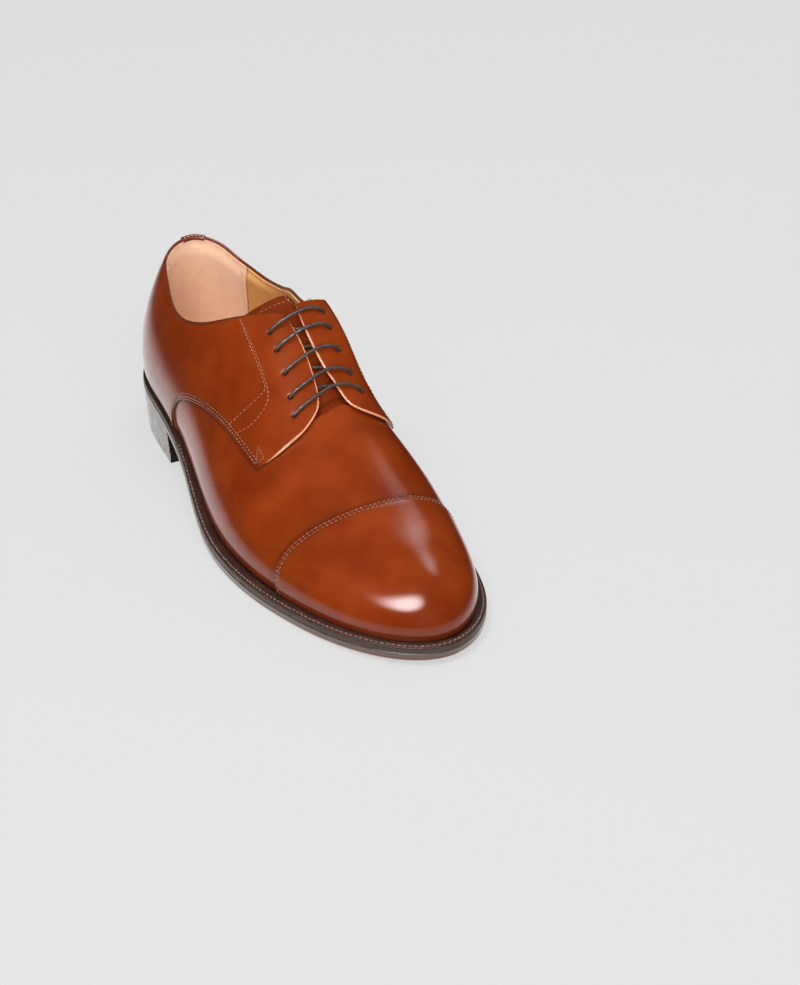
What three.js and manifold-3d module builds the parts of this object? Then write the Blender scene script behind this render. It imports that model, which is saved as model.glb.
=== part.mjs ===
// A right-foot derby shoe with a toe cap, taken apart into its real pieces.
// Millimetres, +X towards the toe, +Y towards the inner side of the foot, +Z up.
//
// Every piece of the upper is a layer on one last surface. A place on that surface is a pair
// (station, height): station runs from 0 at the heel along the outer side to 8 at the toe, and
// back along the inner side to 16; height runs from 0 at the feather line, where upper meets
// sole, to 1 on the ridge line over the instep.
import * as THREE from 'three';
import { mergeVertices } from 'three/addons/utils/BufferGeometryUtils.js';
import Module from 'manifold-3d';

// ---- driving dimensions ----
const SEAT_HEIGHT = 28.8;      // feather line above the floor, at the heel
const BALL_HEIGHT = 8;         // feather line above the floor, at the ball
const TOE_SPRING = 2.4;
const WAIST_BACK = 45;         // x where the sole starts to drop
const WAIST_FRONT = 165;       // x where it reaches the ball
const TREAD_FRONT = 200;       // x where the toe spring starts
const TOE_TIP = 288;
const HEEL_BREAST = 65;        // x of the heel block's front face

const GAP = 0.3;               // clearance between neighbouring solids
const WELT_DROP = 0.8;         // welt top below the feather line
const WELT_THICK = 3;
const HEEL_EXTENSION = 3;      // welt past the feather line, at the heel
const WELT_EXTENSION = 5.8;    // and round the forefoot
const TOP_PIECE_THICK = 6;
const HEEL_LIFTS = 4;
const HEEL_NAILS = 5;

const LEATHER = 1.3;
const QUARTER_UNDER = 0.85;    // offset of the quarters' inside face
const CAP_UNDER = 0.4;         // offset of the toe cap's inside face
const PUFF_OVER = -0.3;        // offset of the toe puff's outside face
const LINING_OVER = -1.8;      // and of the vamp and heel linings
const LINING = 0.7;
const FLAP_RAISE = 0.8;        // how far the lacing flaps stand off the last
const LACE_RADIUS = 0.9;
const LACE_UNDER = -2.2;       // offset of the lace where it runs under the flaps
const LACE_OVER = 4.4;         // and where it crosses over them
const TONGUE_TOP = -3.8;       // offset of the tongue's outside face
const EYELETS = 5;
const HOLE_RADIUS = 2.05;

// The last at nine stations from heel to toe: the feather line on each side, the ridge above
// them, how far the wall bulges out on each side, and the two shape factors of the wall's curve.
const LAST = [
  {
    outer: [-7.5, -4.8], inner: [-7.5, -4.8], ridge: [39.5, -1, 133],
    bulge: [9.2, 9.2], knee: 0.33, crown: 0.44,
  },
  {
    outer: [0, -34], inner: [12, 20.5], ridge: [46, 0.5, 130.5],
    bulge: [10, 10.3], knee: 0.33, crown: 0.45,
  },
  {
    outer: [40.5, -42], inner: [56, 29.5], ridge: [65.5, 3, 130],
    bulge: [9.8, 9], knee: 0.36, crown: 0.48,
  },
  {
    outer: [90.5, -44], inner: [102.5, 24.5], ridge: [98.5, 5.5, 117],
    bulge: [9.2, 6.2], knee: 0.38, crown: 0.45,
  },
  {
    outer: [140.5, -55.5], inner: [144, 37], ridge: [135, 8, 93.5],
    bulge: [8.7, 6.8], knee: 0.4, crown: 0.46,
  },
  {
    outer: [186.5, -58.5], inner: [188, 48.5], ridge: [175, 8.5, 65.5],
    bulge: [9.5, 7], knee: 0.43, crown: 0.53,
  },
  {
    outer: [228, -49], inner: [229.5, 41], ridge: [213.5, 7.2, 49.5],
    bulge: [9, 4.7], knee: 0.49, crown: 0.61,
  },
  {
    outer: [270.5, -32.5], inner: [271, 32], ridge: [243.5, 6.8, 38],
    bulge: [7.5, 3.5], knee: 0.54, crown: 0.65,
  },
  {
    outer: [299.5, -0.5], inner: [299.5, -0.5], ridge: [258, 5.8, 38],
    bulge: [6.7, 6.7], knee: 0.55, crown: 0.64,
  },
];
const TOE = LAST.length - 1;
const ROUND = 2 * TOE;         // stations once round the shoe

// A place on the upper is (station, crossing): station 0 to 8 from heel to toe, and crossing
// from -1 at the outer feather line over 0 on the ridge to 1 at the inner feather line.
const TOPLINE = {
  outer: [[0, -0.477], [0.3, -0.477], [0.8, -0.483], [1.6, -0.51], [2.3, -0.565], [2.8, -0.49],
    [3.25, -0.305], [3.6, -0.095]],
  inner: [[0, 0.477], [0.3, 0.477], [0.7, 0.496], [1.15, 0.548], [1.65, 0.58], [2.05, 0.553],
    [2.4, 0.485], [2.8, 0.385], [3.2, 0.225], [3.58, -0.025]],
};
const FLAP_EDGE = {
  outer: [[3.6, -0.095], [3.96, -0.08], [4.3, -0.085], [4.6, -0.105], [4.75, -0.14]],
  inner: [[3.58, -0.025], [3.8, -0.035], [4.11, -0.03], [4.44, -0.01], [4.78, 0.035]],
};
const FLAP_FOOT = {
  outer: [[4.74, -0.503], [4.81, -0.43], [4.85, -0.34], [4.85, -0.23], [4.75, -0.14]],
  inner: [[4.62, 0.5], [4.75, 0.37], [4.84, 0.24], [4.86, 0.12], [4.78, 0.035]],
};
const QUARTER_SEAM = {
  outer: [[2.7, -1], [2.72, -0.91], [2.94, -0.777], [3.48, -0.648], [4.07, -0.557], [4.74, -0.503]],
  inner: [[2.7, 1], [2.72, 0.91], [2.94, 0.777], [3.48, 0.648], [4.07, 0.557], [4.62, 0.5]],
};
const VAMP_REAR_HALF = [[2.45, -1], [2.52, -0.9], [2.74, -0.76], [3.1, -0.64], [3.6, -0.55], [4.1, -0.47],
  [4.45, -0.41], [4.68, -0.32], [4.78, -0.2], [4.8, 0]];
const CAP_SEAM = [[5.74, -1], [5.74, -0.7], [5.83, -0.5], [5.93, -0.36], [6.09, -0.18], [6.26, 0],
  [6.1, 0.2], [5.96, 0.34], [5.86, 0.48], [5.79, 0.7], [5.8, 1]];
const EYELET_ROW = {
  outer: [[3.69, -0.198], [4.18, -0.207], [4.64, -0.24]],
  inner: [[3.68, 0.122], [4.13, 0.138], [4.58, 0.195]],
};
// The facing stays: their lower and upper edges.
const STAY = {
  outer: [
    [[3.5, -0.33], [4.1, -0.31], [4.58, -0.29]],
    [[3.5, -0.2], [3.66, -0.12], [4.1, -0.1], [4.6, -0.14]],
  ],
  inner: [
    [[3.56, 0.29], [4.1, 0.28], [4.53, 0.26]],
    [[3.55, 0.08], [3.68, 0.01], [4.1, -0.005], [4.6, 0.04]],
  ],
};
const HIDDEN_MARGIN = 0.22;    // stations that the vamp runs on under the toe cap
const BACK_SEAM = 0.012;       // stations from the heel's centre line to each quarter
const COUNTER_END = 1.2;       // station where the heel stiffener ends
const HEEL_LINING_END = 1.25;  // and where the heel lining meets the quarter lining
const QUARTER_LINING_START = 1.32;
const TONGUE_REAR = 3.29;
const TONGUE_FRONT = 4.86;
const TONGUE_HALF_REAR = 0.4;  // half width in crossings, at the top and at the hinge
const TONGUE_HALF_FRONT = 0.28;

// ---- the last surface ----
const mix = THREE.MathUtils.lerp;
const smooth = THREE.MathUtils.smoothstep;
const NUDGE = 0.002;           // step for measuring slopes
const RIDGE_NUDGE = 0.03;      // and along the ridge

function poleOf({ ridge, knee, crown }, foot, bulge) {
  return [...foot, ...ridge, bulge, knee, crown];
}

const POLES = [
  ...LAST.map((place) => poleOf(place, place.outer, place.bulge[0])),
  ...LAST.slice(1, TOE).reverse().map((place) => poleOf(place, place.inner, place.bulge[1])),
];

// A cubic B-spline round the ring of stations.
function ringAt(t) {
  const whole = Math.floor(t);
  const f = t - whole;
  const weights = [
    (1 - f) ** 3 / 6,
    (3 * f ** 3 - 6 * f ** 2 + 4) / 6,
    (-3 * f ** 3 + 3 * f ** 2 + 3 * f + 1) / 6,
    f ** 3 / 6,
  ];
  const pole = (j) => POLES[(whole + j - 1 + 2 * ROUND) % ROUND];
  return POLES[0].map((_, k) => weights.reduce((sum, weight, j) => sum + weight * pole(j)[k], 0));
}

function featherHeight(x) {
  const drop = (SEAT_HEIGHT - BALL_HEIGHT) * (1 - smooth(x, WAIST_BACK, WAIST_FRONT));
  const spring = TOE_SPRING * (Math.max(0, x - TREAD_FRONT) / (TOE_TIP - TREAD_FRONT)) ** 2;
  return BALL_HEIGHT + drop + spring;
}

function ridgeSlope(t) {
  const once = (t + ROUND) % ROUND;
  const folded = once > TOE ? ROUND - once : once;
  const station = THREE.MathUtils.clamp(folded, RIDGE_NUDGE, TOE - RIDGE_NUDGE);
  const [, , backX, , backZ] = ringAt(station - RIDGE_NUDGE);
  const [, , frontX, , frontZ] = ringAt(station + RIDGE_NUDGE);
  return (frontZ - backZ) / (frontX - backX);
}

function wallPoint(t, height) {
  const [footX, footY, ridgeX, ridgeY, ridgeZ, bulge, knee, crown] = ringAt(t);
  const low = featherHeight(footX);
  const span = new THREE.Vector2(footX - ridgeX, footY - ridgeY);
  const out = span.clone().setLength(bulge);
  const shoulderZ = ridgeZ + ridgeSlope(t) * span.x * crown;
  return new THREE.CubicBezierCurve3(
    new THREE.Vector3(footX, footY, low),
    new THREE.Vector3(footX + out.x, footY + out.y, mix(low, ridgeZ, knee)),
    new THREE.Vector3(ridgeX + span.x * crown, ridgeY + span.y * crown, shoulderZ),
    new THREE.Vector3(ridgeX, ridgeY, ridgeZ),
  ).getPoint(height);
}

function upward(t, height) {
  return wallPoint(t, height + NUDGE).sub(wallPoint(t, height - NUDGE)).normalize();
}

function wallNormal(t, height) {
  if (height > 1 - NUDGE) return new THREE.Vector3(-ridgeSlope(t), 0, 1).normalize();
  const along = wallPoint(t + NUDGE, height).sub(wallPoint(t - NUDGE, height));
  return along.cross(upward(t, height)).normalize();
}

// A (station, crossing) place as a (ring station, height) pair.
function onWall([station, crossing]) {
  return [crossing < 0 ? station : ROUND - station, 1 - Math.abs(crossing)];
}

// The point that stands `offset` off the last at a place.
function lifted(place, offset) {
  const [t, height] = onWall(place);
  return wallPoint(t, height).addScaledVector(wallNormal(t, height), offset);
}

// ---- the sole's outlines ----
// The feather line moved outwards by `grow`.
function footprint(t, grow) {
  const [backX, backY] = ringAt(t - NUDGE);
  const [frontX, frontY] = ringAt(t + NUDGE);
  const along = new THREE.Vector2(frontX - backX, frontY - backY).normalize();
  const [x, y] = ringAt(t);
  return new THREE.Vector2(x + along.y * grow, y - along.x * grow);
}

// How far the welt and outsole stand out past the feather line: close at the heel, wide in front.
function welted(t) {
  return HEEL_EXTENSION + (WELT_EXTENSION - HEEL_EXTENSION) * smooth(ringAt(t)[0], 60, 170);
}

// The share between low and high where a rising function passes a value.
function crossedAt(rising, value, low, high) {
  let [below, above] = [low, high];
  for (let i = 0; i < 30; i += 1) {
    const half = (below + above) / 2;
    if (rising(half) < value) below = half;
    else above = half;
  }
  return below;
}

// Both stations, outer and inner, where the feather line passes x.
function stationsAt(x) {
  return [
    crossedAt((station) => ringAt(station)[0], x, 0.5, 5),
    crossedAt((station) => ringAt(ROUND - station)[0], x, 0.5, 5),
  ];
}

// ---- closed solids from grids ----
const WELD = 0.0002;           // grid points closer than this are one

// faces(a, b), with a and b from 0 to 1, gives the outside and the inside point at a grid place.
function layer(columns, rows, faces) {
  const known = new Map();
  const outside = [];
  const inside = [];
  const idAt = (i, j) => {
    const [over, under] = faces(i / columns, j / rows);
    const key = over.toArray().map((value) => Math.round(value / WELD)).join();
    if (!known.has(key)) {
      known.set(key, outside.length);
      outside.push(over);
      inside.push(under);
    }
    return known.get(key);
  };
  const triangles = [];
  for (let i = 0; i < columns; i += 1) {
    for (let j = 0; j < rows; j += 1) {
      const [a, b, c, d] = [idAt(i, j), idAt(i + 1, j), idAt(i + 1, j + 1), idAt(i, j + 1)];
      triangles.push([a, b, c], [a, c, d]);
    }
  }
  return closedMesh(outside, inside, triangles.filter((corners) => new Set(corners).size === 3));
}

// Joins an outside sheet and its inside copy with walls along the sheet's free edges.
function closedMesh(outside, inside, triangles) {
  const count = outside.length;
  const edges = triangles.flatMap(([a, b, c]) => [[a, b], [b, c], [c, a]]);
  const known = new Set(edges.map((edge) => edge.join()));
  const free = edges.filter(([a, b]) => !known.has(`${b},${a}`));
  const under = triangles.map(([a, b, c]) => [a + count, c + count, b + count]);
  const walls = free.flatMap(([a, b]) => [[b, a, a + count], [b, a + count, b + count]]);
  const index = [...triangles, ...under, ...walls];
  const points = [...outside, ...inside];
  const corner = ([a, b, c]) => points[a].dot(points[b].clone().cross(points[c]));
  const volume = index.reduce((sum, face) => sum + corner(face), 0);
  const outward = volume > 0 ? index : index.map(([a, b, c]) => [a, c, b]);
  const geometry = new THREE.BufferGeometry().setFromPoints(points);
  geometry.setIndex(outward.flat());
  return geometry;
}

// A piece of the upper: place(a, b) gives a (station, crossing) place, and the two offsets are
// numbers or functions of that place.
function panel(columns, rows, place, over, under) {
  const amount = (value, where) => (typeof value === 'function' ? value(...where) : value);
  return layer(columns, rows, (a, b) => {
    const where = place(a, b);
    return [lifted(where, amount(over, where)), lifted(where, amount(under, where))];
  });
}

// A smooth line through places, as a function from 0 to 1.
function line(points) {
  const curve = new THREE.SplineCurve(points.map((point) => new THREE.Vector2(...point)));
  return (a) => curve.getPointAt(a);
}

// Two lines end to end; the first takes the stated share.
function joined(first, second, share) {
  return (a) => (a < share ? first(a / share) : second((a - share) / (1 - share)));
}

// The crossing of a line at a station.
function crossingAt(points, station) {
  const at = line(points);
  return at(crossedAt((share) => at(share).x, station, 0, 1)).y;
}

const mirrored = (points) => points.map(([station, crossing]) => [station, -crossing]);
const shifted = (points, stations) => points.map(([station, crossing]) => [station + stations, crossing]);
const place = (point) => [point.x, point.y];

// The surface between two lines.
function between(first, second) {
  return (a, b) => place(first(b).lerp(second(b), a));
}

// The surface between four lines that meet at its corners.
function patch(bottom, top, back, front) {
  const blend = (p, q, share) => p.clone().lerp(q, share);
  return (a, b) => {
    const across = blend(bottom(a), top(a), b);
    const along = blend(back(b), front(b), a);
    const corners = blend(blend(bottom(0), bottom(1), a), blend(top(0), top(1), a), b);
    return place(across.add(along).sub(corners));
  };
}

const straight = (from, to) => (a) => new THREE.Vector2(mix(from[0], to[0], a), mix(from[1], to[1], a));
const toeLine = straight([TOE, -1], [TOE, 1]);

// ---- booleans ----
const manifoldKit = await Module();
manifoldKit.setup();

function solidOf(geometry) {
  const bare = new THREE.BufferGeometry();
  bare.setAttribute('position', geometry.getAttribute('position').clone());
  bare.setIndex(geometry.index ? geometry.index.clone() : null);
  const merged = mergeVertices(bare, 1e-4);
  return new manifoldKit.Manifold(new manifoldKit.Mesh({
    numProp: 3,
    vertProperties: new Float32Array(merged.getAttribute('position').array),
    triVerts: new Uint32Array(merged.index.array),
  }));
}

function geometryOf(solid) {
  const mesh = solid.getMesh();
  const geometry = new THREE.BufferGeometry();
  geometry.setAttribute('position', new THREE.BufferAttribute(new Float32Array(mesh.vertProperties), 3));
  geometry.setIndex(new THREE.BufferAttribute(new Uint32Array(mesh.triVerts), 1));
  return geometry;
}

function drilled(geometry, cutters) {
  return geometryOf(cutters.reduce((solid, cutter) => solid.subtract(solidOf(cutter)), solidOf(geometry)));
}

// ---- the assembly ----
const shoe = new THREE.Group();

function add(name, geometry, color, roughness, metalness = 0) {
  const material = new THREE.MeshStandardMaterial({ color, roughness, metalness });
  const mesh = new THREE.Mesh(geometry, material);
  mesh.name = name;
  shoe.add(mesh);
  return mesh;
}

const COLORS = {
  leather: 0x9a4018,
  edge: 0x3a241a,
  heel: 0x4a3a33,
  lining: 0xd9a070,
  side: 0xc9904f,
  board: 0xb89468,
  cork: 0x9b6f43,
  steel: 0x9a9a9a,
  brass: 0xb08d4a,
  lace: 0x2b211c,
  rubber: 0x2a2220,
};

// ---- sole ----
const SIDES = ['outer', 'inner'];
const signOf = (side) => (side === 'outer' ? -1 : 1);
const fromFeather = (drop) => (x) => featherHeight(x) - drop;
const always = (value) => () => value;
const WELT_BOTTOM = WELT_DROP + WELT_THICK;
const OUTSOLE_BOTTOM = BALL_HEIGHT;

// A flat-lying piece from one station to another, between two faces; each face has its own
// outline (how far past the feather line) and its own height along x.
function slab({
  from = [0, 0], to = [TOE, TOE], columns = 16, rows = 2, grow, growBelow = grow, top, bottom,
}) {
  return layer(columns, rows, (a, b) => {
    const outer = mix(from[0], to[0], a);
    const inner = ROUND - mix(from[1], to[1], a);
    const across = (outline) => footprint(outer, outline(outer)).lerp(footprint(inner, outline(inner)), b);
    const over = across(grow);
    const under = across(growBelow);
    return [
      new THREE.Vector3(over.x, over.y, top(over.x)),
      new THREE.Vector3(under.x, under.y, bottom(under.x)),
    ];
  });
}

// A band that follows the feather line all the way round.
const BAND_STEPS = 44;
function band(innerGrow, outerGrow, top, bottom) {
  return layer(BAND_STEPS, 1, (a, b) => {
    const t = ROUND * a;
    const { x, y } = footprint(t, mix(innerGrow, outerGrow(t), b));
    return [new THREE.Vector3(x, y, top(x)), new THREE.Vector3(x, y, bottom(x))];
  });
}

const INSOLE_THICK = 2.6;
const INSOLE_MARGIN = -3;      // the insole's edge from the feather line
const SOCK_FRONT = 110;        // x where the half sock liner ends
const CORK_BACK = 124;         // x where the cork filler starts
const outsoleTop = fromFeather(WELT_BOTTOM + GAP);
const ribTop = fromFeather(2 * GAP);

add('outsole', slab({
  grow: welted, top: outsoleTop, bottom: fromFeather(OUTSOLE_BOTTOM), columns: 24,
}), COLORS.edge, 0.35);
add('welt', band(-1, welted, fromFeather(WELT_DROP), fromFeather(WELT_BOTTOM)), COLORS.edge, 0.45);
add('insole_rib', band(-4, always(-1.4), ribTop, fromFeather(WELT_BOTTOM - GAP)), COLORS.board, 0.9);
add('insole', slab({
  grow: always(INSOLE_MARGIN), top: fromFeather(-INSOLE_THICK), bottom: fromFeather(0),
}), COLORS.board, 0.8);
add('sock_liner', slab({
  grow: always(INSOLE_MARGIN - 0.4), to: stationsAt(SOCK_FRONT), columns: 8,
  top: fromFeather(-INSOLE_THICK - GAP - 0.9), bottom: fromFeather(-INSOLE_THICK - GAP),
}), COLORS.lining, 0.6);
add('cork_filler', slab({
  grow: always(-4.6), from: stationsAt(CORK_BACK), columns: 10,
  top: ribTop, bottom: fromFeather(WELT_BOTTOM),
}), COLORS.cork, 0.95);

const SHANK = { from: 38, to: 116, middleBack: -9, middleFront: -11, halfWidth: 8, thick: 1.2 };
add('shank', layer(8, 1, (a, b) => {
  const x = mix(SHANK.from, SHANK.to, a);
  const y = mix(SHANK.middleBack, SHANK.middleFront, a) + mix(-SHANK.halfWidth, SHANK.halfWidth, b);
  const top = featherHeight(x) - 1;
  return [new THREE.Vector3(x, y, top), new THREE.Vector3(x, y, top - SHANK.thick)];
}), COLORS.steel, 0.4, 0.9);

// ---- heel ----
const BREAST = stationsAt(HEEL_BREAST);
const HEEL_GROW = { floor: 1.2, seat: 2.8 };     // past the feather line
const heelGrow = (z) => always(mix(HEEL_GROW.floor, HEEL_GROW.seat, z / (SEAT_HEIGHT - OUTSOLE_BOTTOM)));
const LIFTS_FROM = TOP_PIECE_THICK + GAP;
const LIFT_PITCH = (SEAT_HEIGHT - OUTSOLE_BOTTOM - LIFTS_FROM) / HEEL_LIFTS;

function heelSlab(low, high, top = always(high)) {
  return slab({
    to: BREAST, columns: 8, grow: heelGrow(high), growBelow: heelGrow(low), top, bottom: always(low),
  });
}

const NAIL = { head: 1.6, headTop: 1.1, shank: 0.75, shoulder: 8, point: 9, spread: 1.55, inset: -8 };
const NAIL_ROOM = 0.35;
const NAIL_PLACES = Array.from({ length: HEEL_NAILS }, (_, i) => {
  const t = mix(-NAIL.spread, NAIL.spread, i / (HEEL_NAILS - 1));
  return footprint((t + ROUND) % ROUND, NAIL.inset);
});

const turnedProfile = (outline) => outline.map(([radius, height]) => new THREE.Vector2(radius, height));

// A headed nail, point up, grown by `room` all round.
function nailShape(room) {
  const low = GAP - room;
  const outline = turnedProfile([
    [0, low],
    [NAIL.head + room, low],
    [NAIL.head + room, NAIL.headTop + room],
    [NAIL.shank + room, NAIL.headTop + room],
    [NAIL.shank + room, NAIL.shoulder + room],
    [0, NAIL.point + room],
  ]);
  return new THREE.LatheGeometry(outline, 6).rotateX(Math.PI / 2).toNonIndexed();
}

const nailHoles = NAIL_PLACES.map(({ x, y }) => nailShape(NAIL_ROOM).translate(x, y, 0));
const topPiece = heelSlab(0, TOP_PIECE_THICK);
add('heel_top_piece', drilled(topPiece, nailHoles), COLORS.rubber, 0.6);
for (let i = 0; i < HEEL_LIFTS; i += 1) {
  const low = LIFTS_FROM + i * LIFT_PITCH;
  const underOutsole = i === HEEL_LIFTS - 1 ? fromFeather(OUTSOLE_BOTTOM + 3 * GAP) : undefined;
  const lift = heelSlab(low, low + LIFT_PITCH - GAP, underOutsole);
  add(`heel_lift_${i + 1}`, i === 0 ? drilled(lift, nailHoles) : lift, COLORS.heel, 0.35);
}
NAIL_PLACES.forEach(({ x, y }, i) => {
  const nail = add(`heel_nail_${i + 1}`, geometryOf(solidOf(nailShape(0))), COLORS.brass, 0.3, 0.9);
  nail.position.set(x, y, 0);
});

// ---- vamp and toe ----
const VAMP_REAR = [...VAMP_REAR_HALF, ...mirrored(VAMP_REAR_HALF).slice(0, -1).reverse()];
const vampFront = line(shifted(CAP_SEAM, HIDDEN_MARGIN));
const puffRear = line(shifted(CAP_SEAM, HIDDEN_MARGIN + 0.02));
const liningRear = line(shifted(VAMP_REAR, 0.03));
const VAMP_THICK = 1.1;
const CAP_OVER = CAP_UNDER + LEATHER;
const LINING_UNDER = LINING_OVER - LINING;

add('vamp', panel(10, 24, between(line(VAMP_REAR), vampFront), 0, -VAMP_THICK), COLORS.leather, 0.3);
add('toe_cap', panel(8, 20, between(line(CAP_SEAM), toeLine), CAP_OVER, CAP_UNDER), COLORS.leather, 0.25);
add('toe_puff', panel(6, 20, between(puffRear, toeLine), PUFF_OVER, -VAMP_THICK), COLORS.board, 0.8);
const vampLining = panel(14, 20, between(liningRear, toeLine), LINING_OVER, LINING_UNDER);
add('vamp_lining', vampLining, COLORS.side, 0.8);

// ---- quarters and their eyelets ----
// The lacing flaps stand off the last, over the tongue and the lace.
function flapRaise(station, crossing) {
  return FLAP_RAISE * smooth(station, 3.1, 3.5) * smooth(-Math.abs(crossing), -0.44, -0.3);
}

const quarterUnder = (station, crossing) => QUARTER_UNDER + flapRaise(station, crossing);
const quarterOver = (station, crossing) => quarterUnder(station, crossing) + LEATHER;

function quarterPlace(side) {
  const sole = straight([BACK_SEAM, signOf(side)], [QUARTER_SEAM[side][0][0], signOf(side)]);
  const bottom = joined(sole, line(QUARTER_SEAM[side]), 0.45);
  const topline = [[BACK_SEAM, TOPLINE[side][0][1]], ...TOPLINE[side].slice(1)];
  const top = joined(line(topline), line(FLAP_EDGE[side]), 0.66);
  return patch(bottom, top, straight(place(bottom(0)), place(top(0))), line(FLAP_FOOT[side]));
}

const EYELET_PLACES = SIDES.flatMap((side) => Array.from({ length: EYELETS }, (_, row) => {
  const curve = new THREE.SplineCurve(EYELET_ROW[side].map((point) => new THREE.Vector2(...point)));
  return { side, row, at: place(curve.getPoint(row / (EYELETS - 1))) };
}));

const isEyelet = (side, row) => (eyelet) => eyelet.side === side && eyelet.row === row;
const eyeletAt = (side, row) => EYELET_PLACES.find(isEyelet(side, row)).at;
const normalAt = (at) => wallNormal(...onWall(at));
const turnedTo = (normal) => new THREE.Quaternion().setFromUnitVectors(new THREE.Vector3(0, 1, 0), normal);

const PUNCH_LENGTH = 9;
function punches(side, radius) {
  return EYELET_PLACES.filter((eyelet) => eyelet.side === side).map(({ at }) => {
    const { x, y, z } = lifted(at, 1);
    const punch = new THREE.CylinderGeometry(radius, radius, PUNCH_LENGTH, 10);
    return punch.applyQuaternion(turnedTo(normalAt(at))).translate(x, y, z);
  });
}

for (const side of SIDES) {
  const quarter = panel(20, 10, quarterPlace(side), quarterOver, quarterUnder);
  add(`quarter_${side}`, drilled(quarter, punches(side, HOLE_RADIUS)), COLORS.leather, 0.3);
}

const EYELET = { bore: 2, barrel: 2.25, flange: 2.9, low: -0.9, flangeTop: -0.65, barrelTop: 1.1 };
const STAY_HOLE = EYELET.barrel + 2 * GAP;

function eyeletRing() {
  const outline = turnedProfile([
    [EYELET.bore, EYELET.low],
    [EYELET.flange, EYELET.low],
    [EYELET.flange, EYELET.flangeTop],
    [EYELET.barrel, EYELET.flangeTop],
    [EYELET.barrel, EYELET.barrelTop],
    [EYELET.bore, EYELET.barrelTop],
    [EYELET.bore, EYELET.low],
  ]);
  return new THREE.LatheGeometry(outline, 8).toNonIndexed();
}

for (const { side, row, at } of EYELET_PLACES) {
  const ring = add(`eyelet_${side}_${row + 1}`, geometryOf(solidOf(eyeletRing())), COLORS.brass, 0.35, 0.8);
  ring.position.copy(lifted(at, 0));
  ring.quaternion.copy(turnedTo(normalAt(at)));
}

// ---- stays, linings and the heel stiffener ----
const STAY_GAP = 0.8;
const STAY_THICK = 0.25;
const stayOver = (station, crossing) => quarterUnder(station, crossing) - STAY_GAP;
const stayUnder = (station, crossing) => stayOver(station, crossing) - STAY_THICK;
for (const side of SIDES) {
  const [lower, upper] = STAY[side].map(line);
  const stay = panel(4, 10, between(lower, upper), stayOver, stayUnder);
  add(`facing_stay_${side}`, drilled(stay, punches(side, STAY_HOLE)), COLORS.board, 0.8);
}

const SIDE_LINING = 0.5;
const liningOver = (station, crossing) => 0.2 + 0.15 * flapRaise(station, crossing);
const liningUnder = (station, crossing) => liningOver(station, crossing) - SIDE_LINING;

function liningPlace(side) {
  const rear = side === 'outer' ? VAMP_REAR_HALF : mirrored(VAMP_REAR_HALF);
  const seam = shifted(rear.slice(0, 8), -0.05);
  const bottom = joined(straight([QUARTER_LINING_START, signOf(side)], seam[0]), line(seam), 0.33);
  const start = [QUARTER_LINING_START, crossingAt(TOPLINE[side], QUARTER_LINING_START)];
  const rim = [start, ...TOPLINE[side].filter(([station]) => station > QUARTER_LINING_START + 0.1)];
  const top = joined(line(rim), line(FLAP_EDGE[side].slice(0, -1)), 0.7);
  const straightUp = (share) => straight(place(bottom(share)), place(top(share)));
  return patch(bottom, top, straightUp(0), straightUp(1));
}

for (const side of SIDES) {
  const lining = panel(17, 6, liningPlace(side), liningOver, liningUnder);
  add(`quarter_lining_${side}`, drilled(lining, punches(side, STAY_HOLE)), COLORS.side, 0.8);
}

// A place on the heel: along runs from minus one end station (inner) to the other (outer), and
// share from the feather line to just short of the topline.
function heelPlace(end, stop) {
  return (a, b) => {
    const along = mix(-end, end, a);
    const side = along < 0 ? 'inner' : 'outer';
    const rim = crossingAt(TOPLINE[side], Math.abs(along));
    return [Math.abs(along), mix(signOf(side), rim + signOf(side) * stop, b)];
  };
}

const COUNTER_STOP = 0.1;      // crossings below the topline
const heelLining = heelPlace(HEEL_LINING_END, 0);
add('heel_counter', panel(12, 4, heelPlace(COUNTER_END, COUNTER_STOP), 0, -VAMP_THICK), COLORS.board, 0.8);
add('heel_lining', panel(10, 5, heelLining, LINING_OVER, LINING_UNDER), COLORS.lining, 0.9);

const TAB = { end: 0.34, stop: 0.012, tall: 0.13, thick: 0.9 };
const TAB_UNDER = QUARTER_UNDER + LEATHER + 2 * GAP;
const heelTab = (a, b) => {
  const [station, rim] = heelPlace(TAB.end, TAB.stop)(a, 1);
  return [station, rim + Math.sign(rim) * TAB.tall * (1 - b)];
};
add('heel_tab', panel(4, 3, heelTab, TAB_UNDER + TAB.thick, TAB_UNDER), COLORS.leather, 0.3);

// ---- tongue ----
const TONGUE_BOW = 0.2;        // stations that the top edge's ends lie further back
const TONGUE_THICK = 1.2;
const tongueLine = (station, half, bow) => (b) => (
  new THREE.Vector2(station - bow * (2 * b - 1) ** 2, mix(-half, half, b))
);
const tonguePlace = (inset) => between(
  tongueLine(TONGUE_REAR + inset, TONGUE_HALF_REAR - inset / 2, TONGUE_BOW),
  tongueLine(TONGUE_FRONT - inset, TONGUE_HALF_FRONT - inset / 2, 0),
);
const TONGUE_LINING_TOP = TONGUE_TOP - TONGUE_THICK - 2 * GAP;
const tongueLining = panel(6, 6, tonguePlace(0.03), TONGUE_LINING_TOP, TONGUE_LINING_TOP - LINING);
add('tongue', panel(8, 8, tonguePlace(0), TONGUE_TOP, TONGUE_TOP - TONGUE_THICK), COLORS.leather, 0.35);
add('tongue_lining', tongueLining, COLORS.side, 0.8);

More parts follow.
